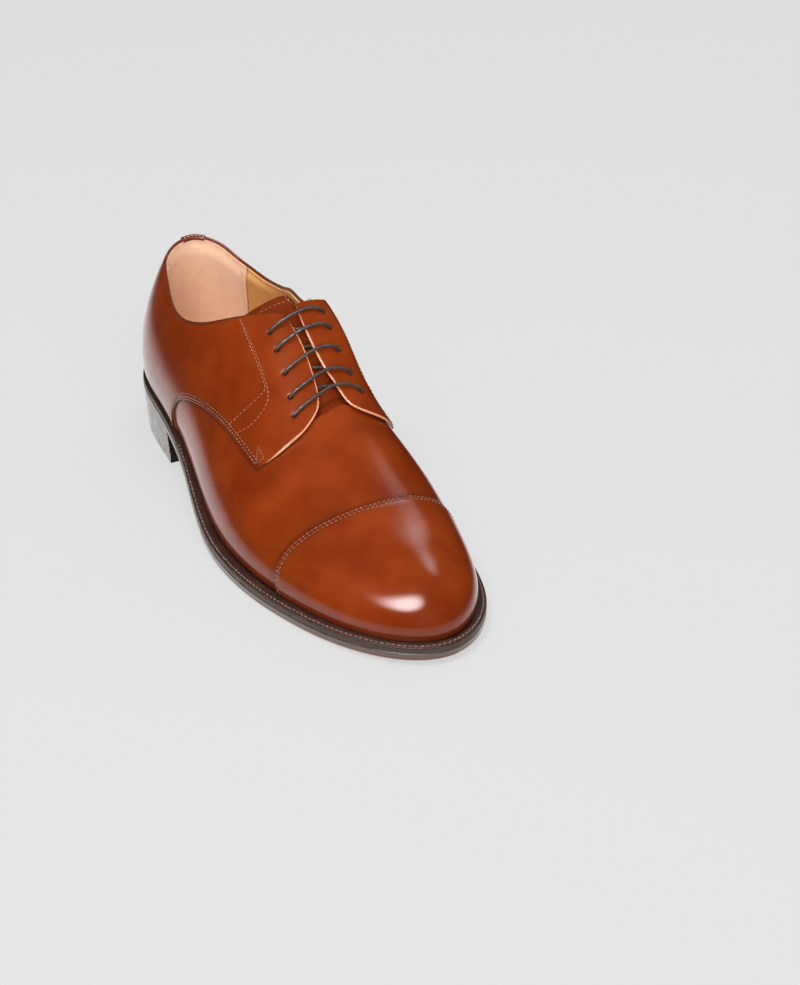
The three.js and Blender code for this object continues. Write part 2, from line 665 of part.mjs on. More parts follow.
// ---- lace ----
// Points as [station, crossing, offset]. Each end is tucked in between the flap's lining and the
// tongue: it runs back beside the eyelets, turns once and comes forward again.
const TAIL_GAP = { near: 0.07, far: 0.085 };     // crossings past the eyelets, and past the near run
function laceTail(side) {
  const sign = signOf(side);
  const near = Math.abs(EYELET_ROW[side][1][1]) + TAIL_GAP.near;
  const far = near + TAIL_GAP.far;
  const turn = (near + far) / 2;
  const run = [[4.14, far], [4.05, far], [3.96, far], [3.86, far - 0.01], [3.8, turn],
    [3.86, near + 0.01], [3.98, near], [4.2, near + 0.005], [4.42, near]];
  return run.map(([station, crossing]) => [station, sign * crossing, LACE_UNDER]);
}

// Points between two eyelets: a share of the way, and the offset there.
const laceSpan = (from, to, steps) => (
  steps.map(([share, offset]) => [mix(from[0], to[0], share), mix(from[1], to[1], share), offset])
);
const LACE_BEND = 3.3;         // offset where the lace turns over an eyelet's rim
const BAR_STEPS = [
  [0, LACE_UNDER + 0.6], [0, 0.6], [0, LACE_BEND], [0.1, LACE_OVER], [0.3, LACE_OVER + 0.2],
  [0.5, LACE_OVER + 0.3], [0.7, LACE_OVER + 0.2], [0.9, LACE_OVER], [1, LACE_BEND], [1, 0.6],
  [1, LACE_UNDER + 0.6],
];
const DIAGONAL_STEPS = [0.12, 0.36, 0.64, 0.88].map((share) => [share, LACE_UNDER]);

// A bar runs over one pair of eyelets, and a diagonal under the flaps to the next pair.
const laceBar = (row) => laceSpan(eyeletAt('outer', row), eyeletAt('inner', row), BAR_STEPS);
const laceDiagonal = (row) => laceSpan(eyeletAt('inner', row), eyeletAt('outer', row - 1), DIAGONAL_STEPS);

function laceRoute() {
  const rows = Array.from({ length: EYELETS }, (_, i) => EYELETS - 1 - i);
  const bars = rows.flatMap((row) => [...laceBar(row), ...(row > 0 ? laceDiagonal(row) : [])]);
  return [...laceTail('outer'), ...bars, ...laceTail('inner').reverse()];
}

const LACE_POINTS = laceRoute().map(([station, crossing, offset]) => (
  lifted([station, crossing], offset)
));
const lacePath = new THREE.CatmullRomCurve3(LACE_POINTS);
lacePath.getUtoTmapping = (u) => u;          // steps follow the points, which are close at the bends
const CORD_SIDES = 8;
const circle = (radius) => new THREE.Shape(Array.from({ length: CORD_SIDES }, (_, i) => {
  const angle = 2 * Math.PI * i / CORD_SIDES;
  return new THREE.Vector2(radius * Math.cos(angle), radius * Math.sin(angle));
}));
const welded = (geometry) => geometryOf(solidOf(geometry));
const tube = (path, radius, steps) => welded(new THREE.ExtrudeGeometry(circle(radius), {
  extrudePath: path, steps, bevelEnabled: false,
}));
add('lace', tube(lacePath, LACE_RADIUS, 160), COLORS.lace, 0.5);

const AGLET_LENGTH = 13;
function addAglet(name, end, before) {
  const along = end.clone().sub(before).normalize();
  const rod = new THREE.CylinderGeometry(LACE_RADIUS, LACE_RADIUS, AGLET_LENGTH, CORD_SIDES);
  const aglet = add(name, welded(rod.toNonIndexed()), COLORS.lace, 0.25);
  aglet.position.copy(end).addScaledVector(along, AGLET_LENGTH / 2 + GAP);
  aglet.quaternion.copy(turnedTo(along));
}

addAglet('aglet_outer', LACE_POINTS[0], LACE_POINTS[1]);
addAglet('aglet_inner', LACE_POINTS.at(-1), LACE_POINTS.at(-2));

// ---- topline binding ----
const BINDING_RADIUS = 0.8;
const BINDING_END = 3.48;      // stations, on both sides
const RIM_MIDDLE = QUARTER_UNDER + LEATHER / 2;

function rimPoint(along) {
  const side = along < 0 ? 'inner' : 'outer';
  const station = Math.abs(along);
  const crossing = crossingAt(TOPLINE[side], station);
  return [[station, crossing], lifted([station, crossing], RIM_MIDDLE + flapRaise(station, crossing))];
}

const BINDING_POINTS = 45;
const bindingPoints = Array.from({ length: BINDING_POINTS }, (_, i) => {
  const along = mix(-BINDING_END, BINDING_END, i / (BINDING_POINTS - 1));
  const [at, point] = rimPoint(along);
  const ahead = rimPoint(along + 0.01)[1].sub(rimPoint(along - 0.01)[1]).normalize();
  const upwards = normalAt(at).cross(ahead).normalize();
  return point.addScaledVector(upwards, BINDING_RADIUS + 3 * GAP);
});
const bindingPath = new THREE.CatmullRomCurve3(bindingPoints);
add('topline_binding', tube(bindingPath, BINDING_RADIUS, 40), COLORS.leather, 0.4);

// ---- origin: the middle of the footprint, on the floor ----
const middle = new THREE.Box3().setFromObject(shoe, true).getCenter(new THREE.Vector3());
shoe.position.set(-middle.x, -middle.y, 0);

export default shoe;
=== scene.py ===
"""A right-foot derby shoe in brown leather, with a toe cap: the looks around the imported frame.

Lengths are in millimetres until a mesh is made, and metres after that. Every piece of the upper
is a layer on one last surface. A place on it is (station, crossing): station 0 to 8 from heel to
toe, crossing -1 at the outer feather line, 0 on the ridge and 1 at the inner feather line.
"""
import math

import bmesh
import bpy
import numpy as np
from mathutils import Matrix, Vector


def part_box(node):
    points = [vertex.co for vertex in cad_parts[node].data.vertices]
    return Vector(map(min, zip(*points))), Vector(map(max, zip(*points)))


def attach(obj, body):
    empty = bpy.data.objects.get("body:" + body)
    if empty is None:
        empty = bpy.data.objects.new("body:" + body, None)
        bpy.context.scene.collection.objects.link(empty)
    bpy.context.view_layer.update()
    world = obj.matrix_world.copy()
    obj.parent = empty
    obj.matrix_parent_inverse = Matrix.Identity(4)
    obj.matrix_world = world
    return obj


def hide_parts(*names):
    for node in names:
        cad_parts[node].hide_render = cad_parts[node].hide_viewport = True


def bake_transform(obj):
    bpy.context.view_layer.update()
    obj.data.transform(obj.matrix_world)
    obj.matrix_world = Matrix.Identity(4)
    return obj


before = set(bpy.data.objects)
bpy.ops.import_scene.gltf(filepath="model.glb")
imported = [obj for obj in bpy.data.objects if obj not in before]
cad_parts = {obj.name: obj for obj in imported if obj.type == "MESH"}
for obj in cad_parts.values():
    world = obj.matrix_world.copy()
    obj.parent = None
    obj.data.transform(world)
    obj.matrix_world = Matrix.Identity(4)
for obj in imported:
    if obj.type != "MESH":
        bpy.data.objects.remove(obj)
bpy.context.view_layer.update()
MM = 0.001

# ---- driving dimensions, as in the part ----
SEAT_HEIGHT = 28.8
BALL_HEIGHT = 8.0
TOE_SPRING = 2.4
WAIST_BACK, WAIST_FRONT = 45, 165
TREAD_FRONT, TOE_TIP = 200, 288
HEEL_BREAST = 65
HEEL_EXTENSION, WELT_EXTENSION = 3, 5.8
WELT_DROP = 0.8
WELT_THICK = 3
TOP_PIECE_THICK = 6
HEEL_LIFTS = 4
EYELETS = 5
LACE_RADIUS = 0.9
LACE_UNDER = -2.2
LACE_OVER = 4.4
TONGUE_TOP = -3.8

# The last at nine stations: feather line on both sides, ridge, bulges, and two shape factors.
LAST = [
    dict(outer=(-7.5, -4.8), inner=(-7.5, -4.8), ridge=(39.5, -1, 133), bulge=(9.2, 9.2),
         form=(0.33, 0.44)),
    dict(outer=(0, -34), inner=(12, 20.5), ridge=(46, 0.5, 130.5), bulge=(10, 10.3), form=(0.33, 0.45)),
    dict(outer=(40.5, -42), inner=(56, 29.5), ridge=(65.5, 3, 130), bulge=(9.8, 9), form=(0.36, 0.48)),
    dict(outer=(90.5, -44), inner=(102.5, 24.5), ridge=(98.5, 5.5, 117), bulge=(9.2, 6.2),
         form=(0.38, 0.45)),
    dict(outer=(140.5, -55.5), inner=(144, 37), ridge=(135, 8, 93.5), bulge=(8.7, 6.8), form=(0.4, 0.46)),
    dict(outer=(186.5, -58.5), inner=(188, 48.5), ridge=(175, 8.5, 65.5), bulge=(9.5, 7),
         form=(0.43, 0.53)),
    dict(outer=(228, -49), inner=(229.5, 41), ridge=(213.5, 7.2, 49.5), bulge=(9, 4.7),
         form=(0.49, 0.61)),
    dict(outer=(270.5, -32.5), inner=(271, 32), ridge=(243.5, 6.8, 38), bulge=(7.5, 3.5),
         form=(0.54, 0.65)),
    dict(outer=(299.5, -0.5), inner=(299.5, -0.5), ridge=(258, 5.8, 38), bulge=(6.7, 6.7),
         form=(0.55, 0.64)),
]
TOE = len(LAST) - 1
ROUND = 2 * TOE
SIDES = ("outer", "inner")
SIGN = {"outer": -1, "inner": 1}

# From station 2.8 to the flap's corner, the inner side runs up to 8 mm away from the part's line.
TOPLINE = {
    "outer": [
        (0, -0.477), (0.3, -0.477), (0.8, -0.483), (1.6, -0.51), (2.3, -0.565), (2.8, -0.49),
        (3.25, -0.305), (3.6, -0.095),
    ],
    "inner": [
        (0, 0.477), (0.3, 0.477), (0.7, 0.496), (1.15, 0.548), (1.65, 0.58), (2.05, 0.553),
        (2.4, 0.485), (2.8, 0.42), (3.18, 0.33), (3.42, 0.21), (3.53, 0.09), (3.58, -0.025),
    ],
}
FLAP_EDGE = {
    "outer": [(3.6, -0.095), (3.96, -0.08), (4.3, -0.085), (4.6, -0.105), (4.75, -0.14)],
    "inner": [(3.58, -0.025), (3.8, -0.035), (4.11, -0.03), (4.44, -0.01), (4.78, 0.035)],
}
FLAP_FOOT = {
    "outer": [(4.74, -0.503), (4.81, -0.43), (4.85, -0.34), (4.85, -0.23), (4.75, -0.14)],
    "inner": [(4.62, 0.5), (4.75, 0.37), (4.84, 0.24), (4.86, 0.12), (4.78, 0.035)],
}
QUARTER_SEAM = {
    "outer": [(2.7, -1), (2.72, -0.91), (2.94, -0.777), (3.48, -0.648), (4.07, -0.557), (4.74, -0.503)],
    "inner": [(2.7, 1), (2.72, 0.91), (2.94, 0.777), (3.48, 0.648), (4.07, 0.557), (4.62, 0.5)],
}
VAMP_REAR_HALF = [
    (2.45, -1), (2.52, -0.9), (2.74, -0.76), (3.1, -0.64), (3.6, -0.55),
    (4.1, -0.47), (4.45, -0.41), (4.68, -0.32), (4.78, -0.2), (4.8, 0),
]
# The cap's seam has a corner in these measures on the ridge, and none on the last.
CAP_SEAM = [
    [(5.74, -1), (5.74, -0.7), (5.83, -0.5), (5.93, -0.36), (6.08, -0.18), (6.19, -0.07), (6.263, 0)],
    [(6.263, 0), (6.19, 0.065), (6.08, 0.18), (5.96, 0.34), (5.86, 0.48), (5.79, 0.7), (5.8, 1)],
]
EYELET_ROW = {
    "outer": [(3.69, -0.198), (4.18, -0.207), (4.64, -0.24)],
    "inner": [(3.68, 0.122), (4.13, 0.138), (4.58, 0.195)],
}
# The two rows of stitches that turn down from the topline and back to the seam.
FACING_ROWS = [
    [(3.27, 0.698), (3.55, 0.695), (3.81, 0.695), (4.04, 0.693), (4.16, 0.68), (4.15, 0.618),
     (4.1, 0.537), (4.03, 0.455)],
    [(3.3, 0.7), (3.61, 0.703), (3.9, 0.705), (4.09, 0.7), (4.25, 0.685), (4.32, 0.64), (4.31, 0.557),
     (4.19, 0.473)],
]
HEEL_LINING_END = 1.25
TONGUE_REAR, TONGUE_FRONT = 3.29, 4.84
TONGUE_BOW = -0.2             # stations, at both ends of the top edge
TONGUE_HALF_REAR, TONGUE_HALF_FRONT = 0.4, 0.28

# ---- the last surface ----
NUDGE = 0.001


def pole(place, side):
    return [*place[SIDES[side]], *place["ridge"], place["bulge"][side], *place["form"]]


POLES = np.array([pole(place, 0) for place in LAST] + [pole(place, 1) for place in LAST[-2:0:-1]], float)


def unit(vectors):
    return vectors / np.linalg.norm(vectors, axis=-1, keepdims=True)


def smooth(low, high, x):
    share = np.clip((x - low) / (high - low), 0, 1)
    return share * share * (3 - 2 * share)


def ring(t):
    """The cubic B-spline of the stations, once round the shoe."""
    whole = np.floor(t).astype(int)
    f = (t - whole)[..., None]
    weights = (
        (1 - f) ** 3 / 6,
        (3 * f**3 - 6 * f**2 + 4) / 6,
        (-3 * f**3 + 3 * f**2 + 3 * f + 1) / 6,
        f**3 / 6,
    )
    return sum(weight * POLES[(whole + j - 1) % ROUND] for j, weight in enumerate(weights))


def feather_height(x):
    drop = (SEAT_HEIGHT - BALL_HEIGHT) * (1 - smooth(WAIST_BACK, WAIST_FRONT, x))
    ahead = np.clip(x - TREAD_FRONT, 0, None) / (TOE_TIP - TREAD_FRONT)
    return BALL_HEIGHT + drop + TOE_SPRING * ahead ** 2


def ridge_slope(t):
    """The ridge's slope, eased so that both sides of the toe run smoothly into each other."""
    from_toe = np.hypot(np.mod(t, ROUND) - TOE, 0.5)
    station = np.clip(TOE - from_toe, 0.03, TOE - 0.03)
    rise = ring(station + 0.03) - ring(station - 0.03)
    return rise[..., 4] / rise[..., 2]


def wall_point(t, height):
    t, height = np.broadcast_arrays(np.asarray(t, float), np.asarray(height, float))
    values = ring(t)
    foot, ridge = values[..., :2], values[..., 2:5]
    bulge, knee, crown = (values[..., k, None] for k in (5, 6, 7))
    low = feather_height(foot[..., :1])
    span = foot - ridge[..., :2]
    out = unit(span) * bulge
    ridge_z = ridge[..., 2:]
    shoulder_z = ridge_z + ridge_slope(t)[..., None] * span[..., :1] * crown
    corners = (
        np.concatenate([foot, low], -1),
        np.concatenate([foot + out, low + knee * (ridge_z - low)], -1),
        np.concatenate([ridge[..., :2] + span * crown, shoulder_z], -1),
        ridge,
    )
    h = height[..., None]
    weights = ((1 - h) ** 3, 3 * (1 - h) ** 2 * h, 3 * (1 - h) * h**2, h**3)
    return sum(weight * corner for weight, corner in zip(weights, corners))


def wall_normal(t, height):
    h = np.clip(height, 2 * NUDGE, 1 - 2 * NUDGE)
    along = wall_point(t + NUDGE, h) - wall_point(t - NUDGE, h)
    upward = wall_point(t, h + NUDGE) - wall_point(t, h - NUDGE)
    across = np.cross(along, upward)
    return unit(across)


def on_wall(places):
    station, crossing = places[..., 0], places[..., 1]
    return np.where(crossing < 0, station, ROUND - station), 1 - np.abs(crossing)


def normal_at(places):
    return wall_normal(*on_wall(places))


def lifted(places, offset=0.0):
    places = np.asarray(places, float)
    offset = np.broadcast_to(offset, places.shape[:-1])[..., None]
    return wall_point(*on_wall(places)) + normal_at(places) * offset


def footprint(t, grow):
    """The feather line, moved outwards."""
    ahead = (ring(t + NUDGE) - ring(t - NUDGE))[..., :2]
    ahead = unit(ahead)
    normal = np.stack([ahead[..., 1], -ahead[..., 0]], -1)
    return ring(t)[..., :2] + normal * np.broadcast_to(grow, t.shape)[..., None]


def welted(t):
    return HEEL_EXTENSION + (WELT_EXTENSION - HEEL_EXTENSION) * smooth(60, 170, ring(t)[..., 0])


def packed_shift():
    """From the last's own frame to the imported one: the insole's corner is known in both."""
    stations = np.linspace(0, TOE, 17)
    outline = np.concatenate([footprint(stations, -3.0), footprint(ROUND - stations, -3.0)])
    corner = np.array(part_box("insole")[0])[:2] / MM
    return np.array([*(corner - outline.min(0)), 0.0])


SHIFT = packed_shift()


def to_metres(points):
    return (points + SHIFT) * MM


# ---- lines and patches of places ----
def hermite(start, end, leave, arrive, f):
    """A cubic from one point to another, with its directions at both."""
    cubic = (2 * start - 2 * end + leave + arrive) * f**3
    square = (-3 * start + 3 * end - 2 * leave - arrive) * f**2
    return cubic + square + leave * f + start


def spline(points, samples=24):
    """Points of a uniform Catmull-Rom curve, dense."""
    points = np.asarray(points, float)
    padded = np.concatenate([points[:1], points, points[-1:]])
    f = np.linspace(0, 1, samples, endpoint=False)[:, None]
    pieces = []
    for p0, p1, p2, p3 in zip(padded, padded[1:], padded[2:], padded[3:]):
        v0, v1 = (p2 - p0) / 2, (p3 - p1) / 2
        pieces.append(hermite(p1, p2, v0, v1, f))
    return np.concatenate(pieces + [points[-1:]])


def lengths_of(points):
    steps = np.linalg.norm(np.diff(points, axis=0), axis=-1)
    return np.concatenate([[0], np.cumsum(steps)])


def at_shares(dense, shares):
    """Points along a dense line, at shares of its length."""
    total = lengths_of(dense)
    wanted = np.asarray(shares) * total[-1]
    return np.stack([np.interp(wanted, total, dense[:, k]) for k in range(dense.shape[1])], -1)


def line(points):
    dense = spline(points)
    return lambda shares: at_shares(dense, shares)


def cap_line(forward=0.0, dip=0.0):
    """The cap's seam, moved forward by some stations and drawn on below the feather line."""
    outer, inner = (spline(half) for half in CAP_SEAM)
    dense = np.concatenate([outer, inner[1:]]) + [forward, 0]
    dense[0, 1] -= dip
    dense[-1, 1] += dip
    return lambda shares: at_shares(dense, shares)


def straight(start, end):
    start, end = np.asarray(start, float), np.asarray(end, float)
    return lambda shares: start + (end - start) * np.asarray(shares)[..., None]


def joined(first, second, share):
    def at(shares):
        shares = np.asarray(shares)
        early = first(np.clip(shares / share, 0, 1))
        late = second(np.clip((shares - share) / (1 - share), 0, 1))
        return np.where((shares < share)[..., None], early, late)
    return at


def crossing_at(points, station):
    dense = spline(points)
    return np.interp(station, dense[:, 0], dense[:, 1])


def mirrored(points):
    return [(station, -crossing) for station, crossing in points]


def shifted(points, stations):
    return [(station + stations, crossing) for station, crossing in points]


def between(first, second):
    return lambda a, b: first(b) + (second(b) - first(b)) * a[..., None]


def patch(bottom, top, back, front):
    """The surface between four lines that meet at its corners."""
    def at(a, b):
        u, v = a[..., None], b[..., None]
        zero, one = np.zeros(()), np.ones(())
        across = bottom(a) * (1 - v) + top(a) * v
        along = back(b) * (1 - u) + front(b) * u
        low = bottom(zero) * (1 - u) + bottom(one) * u
        high = top(zero) * (1 - u) + top(one) * u
        return across + along - (low * (1 - v) + high * v)
    return at


def inset(places, distance):
    """A line of places moved sideways on the surface, to the left of its direction."""
    places = np.asarray(places, float)
    for _ in range(4):
        points = lifted(places)
        ahead = np.gradient(points, axis=0)
        sideways = np.cross(normal_at(places), ahead)
        sideways *= distance / 4 / np.linalg.norm(sideways, axis=-1, keepdims=True)
        per_station = (lifted(places + [NUDGE, 0]) - lifted(places - [NUDGE, 0])) / (2 * NUDGE)
        per_crossing = (lifted(places + [0, NUDGE]) - lifted(places - [0, NUDGE])) / (2 * NUDGE)
        aa = (per_station * per_station).sum(-1)
        ab = (per_station * per_crossing).sum(-1)
        bb = (per_crossing * per_crossing).sum(-1)
        wa = (per_station * sideways).sum(-1)
        wb = (per_crossing * sideways).sum(-1)
        scale = aa * bb - ab * ab
        places = places + np.stack([(bb * wa - ab * wb) / scale, (aa * wb - ab * wa) / scale], -1)
    return places


# ---- meshes ----
def new_object(name, mesh, body="shoe", slot=None, replaces=()):
    piece = bpy.data.objects.new(name, mesh)
    bpy.context.scene.collection.objects.link(piece)
    if body:
        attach(piece, body)
    if replaces:
        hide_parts(*replaces)
    return piece


def mesh_of(name, points, faces, materials, face_material=None, tone=None):
    mesh = bpy.data.meshes.new(name)
    mesh.from_pydata(to_metres(points).tolist(), [], faces)
    for material in materials:
        mesh.materials.append(material)
    if face_material is not None:
        mesh.polygons.foreach_set("material_index", np.asarray(face_material, np.int32))
    if tone is not None:
        shade = mesh.attributes.new("tone", "FLOAT", "POINT")
        shade.data.foreach_set("value", np.asarray(tone, np.float32))
    tidy = bmesh.new()
    tidy.from_mesh(mesh)
    bmesh.ops.remove_doubles(tidy, verts=tidy.verts, dist=4e-6)
    bmesh.ops.dissolve_degenerate(tidy, edges=tidy.edges, dist=1e-7)
    bmesh.ops.recalc_face_normals(tidy, faces=tidy.faces)
    tidy.to_mesh(mesh)
    tidy.free()
    mesh.polygons.foreach_set("use_smooth", np.ones(len(mesh.polygons), bool))
    return mesh


EDGE_STEPS = [0, 0.08, 0.22, 0.42, 0.7, 1.0, 1.3, 1.6, 1.95, 2.3, 2.65, 3.0, 3.3, 3.65, 4.1]


def spaced(length, step, start=True, end=True):
    """Shares from 0 to 1 with even steps, closer together at the ends that are cut edges."""
    low = EDGE_STEPS if start else [0]
    high = EDGE_STEPS if end else [0]
    count = max(2, round((length - low[-1] - high[-1]) / step))
    middle = np.linspace(low[-1], length - high[-1], count + 1)
    steps = np.concatenate([low[:-1], middle, [length - value for value in high[-2::-1]]])
    return np.unique(np.round(steps, 6)) / length


def quad_faces(columns, rows):
    ids = np.arange(columns * rows).reshape(columns, rows)
    return np.stack([ids[:-1, :-1], ids[1:, :-1], ids[1:, 1:], ids[:-1, 1:]], -1).reshape(-1, 4)


def rim_of(columns, rows):
    """The grid's outer ring of vertex numbers, in the order that walks round it."""
    ids = np.arange(columns * rows).reshape(columns, rows)
    return np.concatenate([ids[:-1, 0], ids[-1, :-1], ids[:0:-1, -1], ids[0, :0:-1]])


def shell_mesh(name, over, under, materials, tone=None, wall=(), meets=False):
    """A closed layer from two grids of points. wall lists (share, push, material) rings between
    the over and under rims, pushed outwards, and the material of the band above each. meets says
    that the two halves of the front edge are joined to each other, with no wall between."""
    columns, rows = over.shape[:2]
    count = columns * rows
    sheet = quad_faces(columns, rows)
    rim = rim_of(columns, rows)
    top, base = over.reshape(-1, 3), under.reshape(-1, 3)
    rim_top, rim_base = top[rim], base[rim]
    middle = (rim_top + rim_base) / 2
    ahead = np.roll(middle, -1, 0) - np.roll(middle, 1, 0)
    outward = np.cross(ahead, rim_top - rim_base)
    size = np.linalg.norm(outward, axis=-1, keepdims=True)
    outward = outward / np.where(size > 1e-9, size, 1)
    points = [top, base]
    rings = [rim]
    for index, (share, push, _) in enumerate(wall):
        points.append(rim_top + (rim_base - rim_top) * share + outward * push)
        rings.append(2 * count + index * len(rim) + np.arange(len(rim)))
    rings.append(rim + count)
    faces = [sheet, sheet[:, ::-1] + count]
    indexes = [np.zeros(len(sheet)), np.full(len(sheet), min(1, len(materials) - 1))]
    wall_materials = [entry[2] for entry in wall] + [wall[-1][2] if wall else min(2, len(materials) - 1)]
    kept = np.ones(len(rim), bool)
    if meets:
        kept[columns - 1:columns + rows - 2] = False
    for upper, lower, material in zip(rings, rings[1:], wall_materials):
        faces.append(np.stack([np.roll(upper, -1), upper, lower, np.roll(lower, -1)], -1)[kept])
        indexes.append(np.full(kept.sum(), material))
    all_tone = None
    if tone is not None:
        flat = tone.reshape(-1)
        all_tone = np.concatenate([flat, flat] + [flat[rim]] * len(wall))
    all_faces = np.concatenate(faces).tolist()
    return mesh_of(name, np.concatenate(points), all_faces, materials, np.concatenate(indexes), all_tone)


def fillet(distance, radius):
    inside = np.clip(radius - distance, 0, radius)
    return radius - np.sqrt(radius * radius - inside * inside)


def edge_distances(points):
    """How far each grid point is from the four sides of the grid, along its lines."""
    def walked(grid, axis):
        steps = np.linalg.norm(np.diff(grid, axis=axis), axis=-1)
        total = np.cumsum(steps, axis=axis)
        pad = [(0, 0), (0, 0)]
        pad[axis] = (1, 0)
        return np.pad(total, pad)
    from_back = walked(points, 0)
    from_bottom = walked(points, 1)
    return {
        "back": from_back,
        "front": from_back[-1:, :] - from_back,
        "bottom": from_bottom,
        "top": from_bottom[:, -1:] - from_bottom,
    }


def panel(name, place, over, under, size, materials, cut=("back", "front", "bottom", "top"),
          step=1.6, radius=0.5, tone=None, meets=False, **placing):
    """A layer of the upper. over and under are functions of (places, edge distances)."""
    a = spaced(size[0], step, "back" in cut, "front" in cut)
    b = spaced(size[1], step, "bottom" in cut, "top" in cut)
    grid_a, grid_b = np.meshgrid(a, b, indexing="ij")
    places = place(grid_a, grid_b)
    edges = edge_distances(lifted(places))
    nearest = np.min([edges[side] for side in cut], axis=0) if cut else np.full(grid_a.shape, 99.0)
    outside = lifted(places, over(places, edges) - fillet(nearest, radius))
    inside = lifted(places, under(places, edges) + fillet(nearest, radius * 0.3))
    shade = tone(places, edges) if tone else None
    mesh = shell_mesh(name, outside, inside, materials, shade, meets=meets)
    return new_object(name, mesh, **placing)


def always(value):
    return lambda places, edges: np.full(places.shape[:-1], float(value))


# ---- materials ----
def material(name, color, roughness=0.5, metallic=0.0, **sockets):
    made = bpy.data.materials.new(name)
    made.use_nodes = True
    shader = made.node_tree.nodes["Principled BSDF"]
    shader.inputs["Base Color"].default_value = (*color, 1)
    shader.inputs["Roughness"].default_value = roughness
    shader.inputs["Metallic"].default_value = metallic
    for socket, value in sockets.items():
        shader.inputs[socket.replace("_", " ")].default_value = value
    return made


class Nodes:
    """Short names for adding shader nodes to one material."""

    def __init__(self, made):
        self.tree = made.node_tree
        self.shader = self.tree.nodes["Principled BSDF"]
        self.place = self.tree.nodes.new("ShaderNodeTexCoord").outputs["Object"]

    def link(self, source, target):
        self.tree.links.new(source, target)

    def noise(self, size, detail=3.0, roughness=0.55, place=None):
        node = self.tree.nodes.new("ShaderNodeTexNoise")
        node.inputs["Scale"].default_value = 1 / (size * MM)
        node.inputs["Detail"].default_value = detail
        node.inputs["Roughness"].default_value = roughness
        self.link(place or self.place, node.inputs["Vector"])
        return node.outputs["Fac"]

    def stretched(self, scale):
        node = self.tree.nodes.new("ShaderNodeMapping")
        node.inputs["Scale"].default_value = scale
        self.link(self.place, node.inputs["Vector"])
        return node.outputs["Vector"]

    def remap(self, value, low, high, to_low=0.0, to_high=1.0):
        node = self.tree.nodes.new("ShaderNodeMapRange")
        self.link(value, node.inputs["Value"])
        for socket, number in (("From Min", low), ("From Max", high), ("To Min", to_low),
                               ("To Max", to_high)):
            node.inputs[socket].default_value = number
        return node.outputs["Result"]

    def blend(self, share, first, second):
        """Colours mixed by a share; each is a colour or another output."""
        node = self.tree.nodes.new("ShaderNodeMix")
        node.data_type = "RGBA"
        self.link(share, node.inputs["Factor"])
        for socket, value in zip((node.inputs[6], node.inputs[7]), (first, second)):
            if isinstance(value, tuple):
                socket.default_value = (*value, 1)
            else:
                self.link(value, socket)
        return node.outputs[2]

    def math(self, operation, first, second):
        node = self.tree.nodes.new("ShaderNodeMath")
        node.operation = operation
        for socket, value in zip(node.inputs, (first, second)):
            if isinstance(value, (int, float)):
                socket.default_value = value
            else:
                self.link(value, socket)
        return node.outputs["Value"]

    def attribute(self, name):
        node = self.tree.nodes.new("ShaderNodeAttribute")
        node.attribute_name = name
        return node.outputs["Fac"]

    def bump(self, height, strength, depth):
        node = self.tree.nodes.new("ShaderNodeBump")
        node.inputs["Strength"].default_value = strength
        node.inputs["Distance"].default_value = depth * MM
        self.link(height, node.inputs["Height"])
        self.link(node.outputs["Normal"], self.shader.inputs["Normal"])

    def color(self, value):
        self.link(value, self.shader.inputs["Base Color"])

    def rough(self, value):
        self.link(value, self.shader.inputs["Roughness"])


def upper_leather():
    """Polished calf: brown dye laid over a lighter hide, darker where the tone attribute is high. That
    attribute holds the darker polish and also painted shade: beside the edges that lie over the vamp, in
    the stitch rows and round the lace holes.
    """
    made = material("upper_leather", (0.21, 0.03, 0.005), 0.34, Specular_IOR_Level=0.02)
    nodes = Nodes(made)
    nodes.shader.inputs["Coat Weight"].default_value = 0.62
    nodes.shader.inputs["Coat Roughness"].default_value = 0.15
    nodes.shader.inputs["Coat IOR"].default_value = 1.5
    clouds = nodes.remap(nodes.noise(26, 4), 0.35, 0.7)
    warm = nodes.blend(clouds, (0.165, 0.021, 0.0028), (0.24, 0.036, 0.005))
    pores = nodes.remap(nodes.noise(0.9, 2), 0.4, 0.75)
    grained = nodes.blend(nodes.math("MULTIPLY", pores, 0.12), warm, (0.13, 0.015, 0.0025))
    # the tone attribute blends towards this dark colour, for darker polish and for painted shade
    nodes.color(nodes.blend(nodes.attribute("tone"), grained, (0.04, 0.006, 0.002)))
    nodes.rough(nodes.remap(nodes.noise(6, 4), 0.3, 0.7, 0.27, 0.36))
    nodes.bump(nodes.noise(0.6, 2), 0.12, 0.03)
    return made


def fibrous(name, light, dark, grain, roughness, strength=0.4, depth=0.08, **sockets):
    """Leather's rough side, board or cork: a mottled colour and a fibrous bump."""
    made = material(name, light, roughness, **sockets)
    nodes = Nodes(made)
    mottled = nodes.blend(nodes.remap(nodes.noise(grain * 8, 4), 0.35, 0.7), light, dark)
    specks = nodes.remap(nodes.noise(grain, 3), 0.35, 0.8)
    nodes.color(nodes.blend(nodes.math("MULTIPLY", specks, 0.35), mottled, dark))
    nodes.bump(nodes.noise(grain * 0.7, 4, 0.65), strength, depth)
    return made


def waxed_edge(name, light, dark, roughness, coat):
    """A dyed, waxed and burnished leather edge, with fibres that run along its layers."""
    made = material(name, light, roughness)
    nodes = Nodes(made)
    nodes.shader.inputs["Coat Weight"].default_value = coat
    nodes.shader.inputs["Coat Roughness"].default_value = 0.2
    streaks = nodes.noise(1, 4, 0.6, nodes.stretched((0.12, 0.12, 1.6)))
    nodes.color(nodes.blend(nodes.remap(streaks, 0.3, 0.7), light, dark))
    nodes.rough(nodes.remap(nodes.noise(5, 3), 0.3, 0.7, roughness - 0.06, roughness + 0.1))
    nodes.bump(streaks, 0.3, 0.05)
    return made


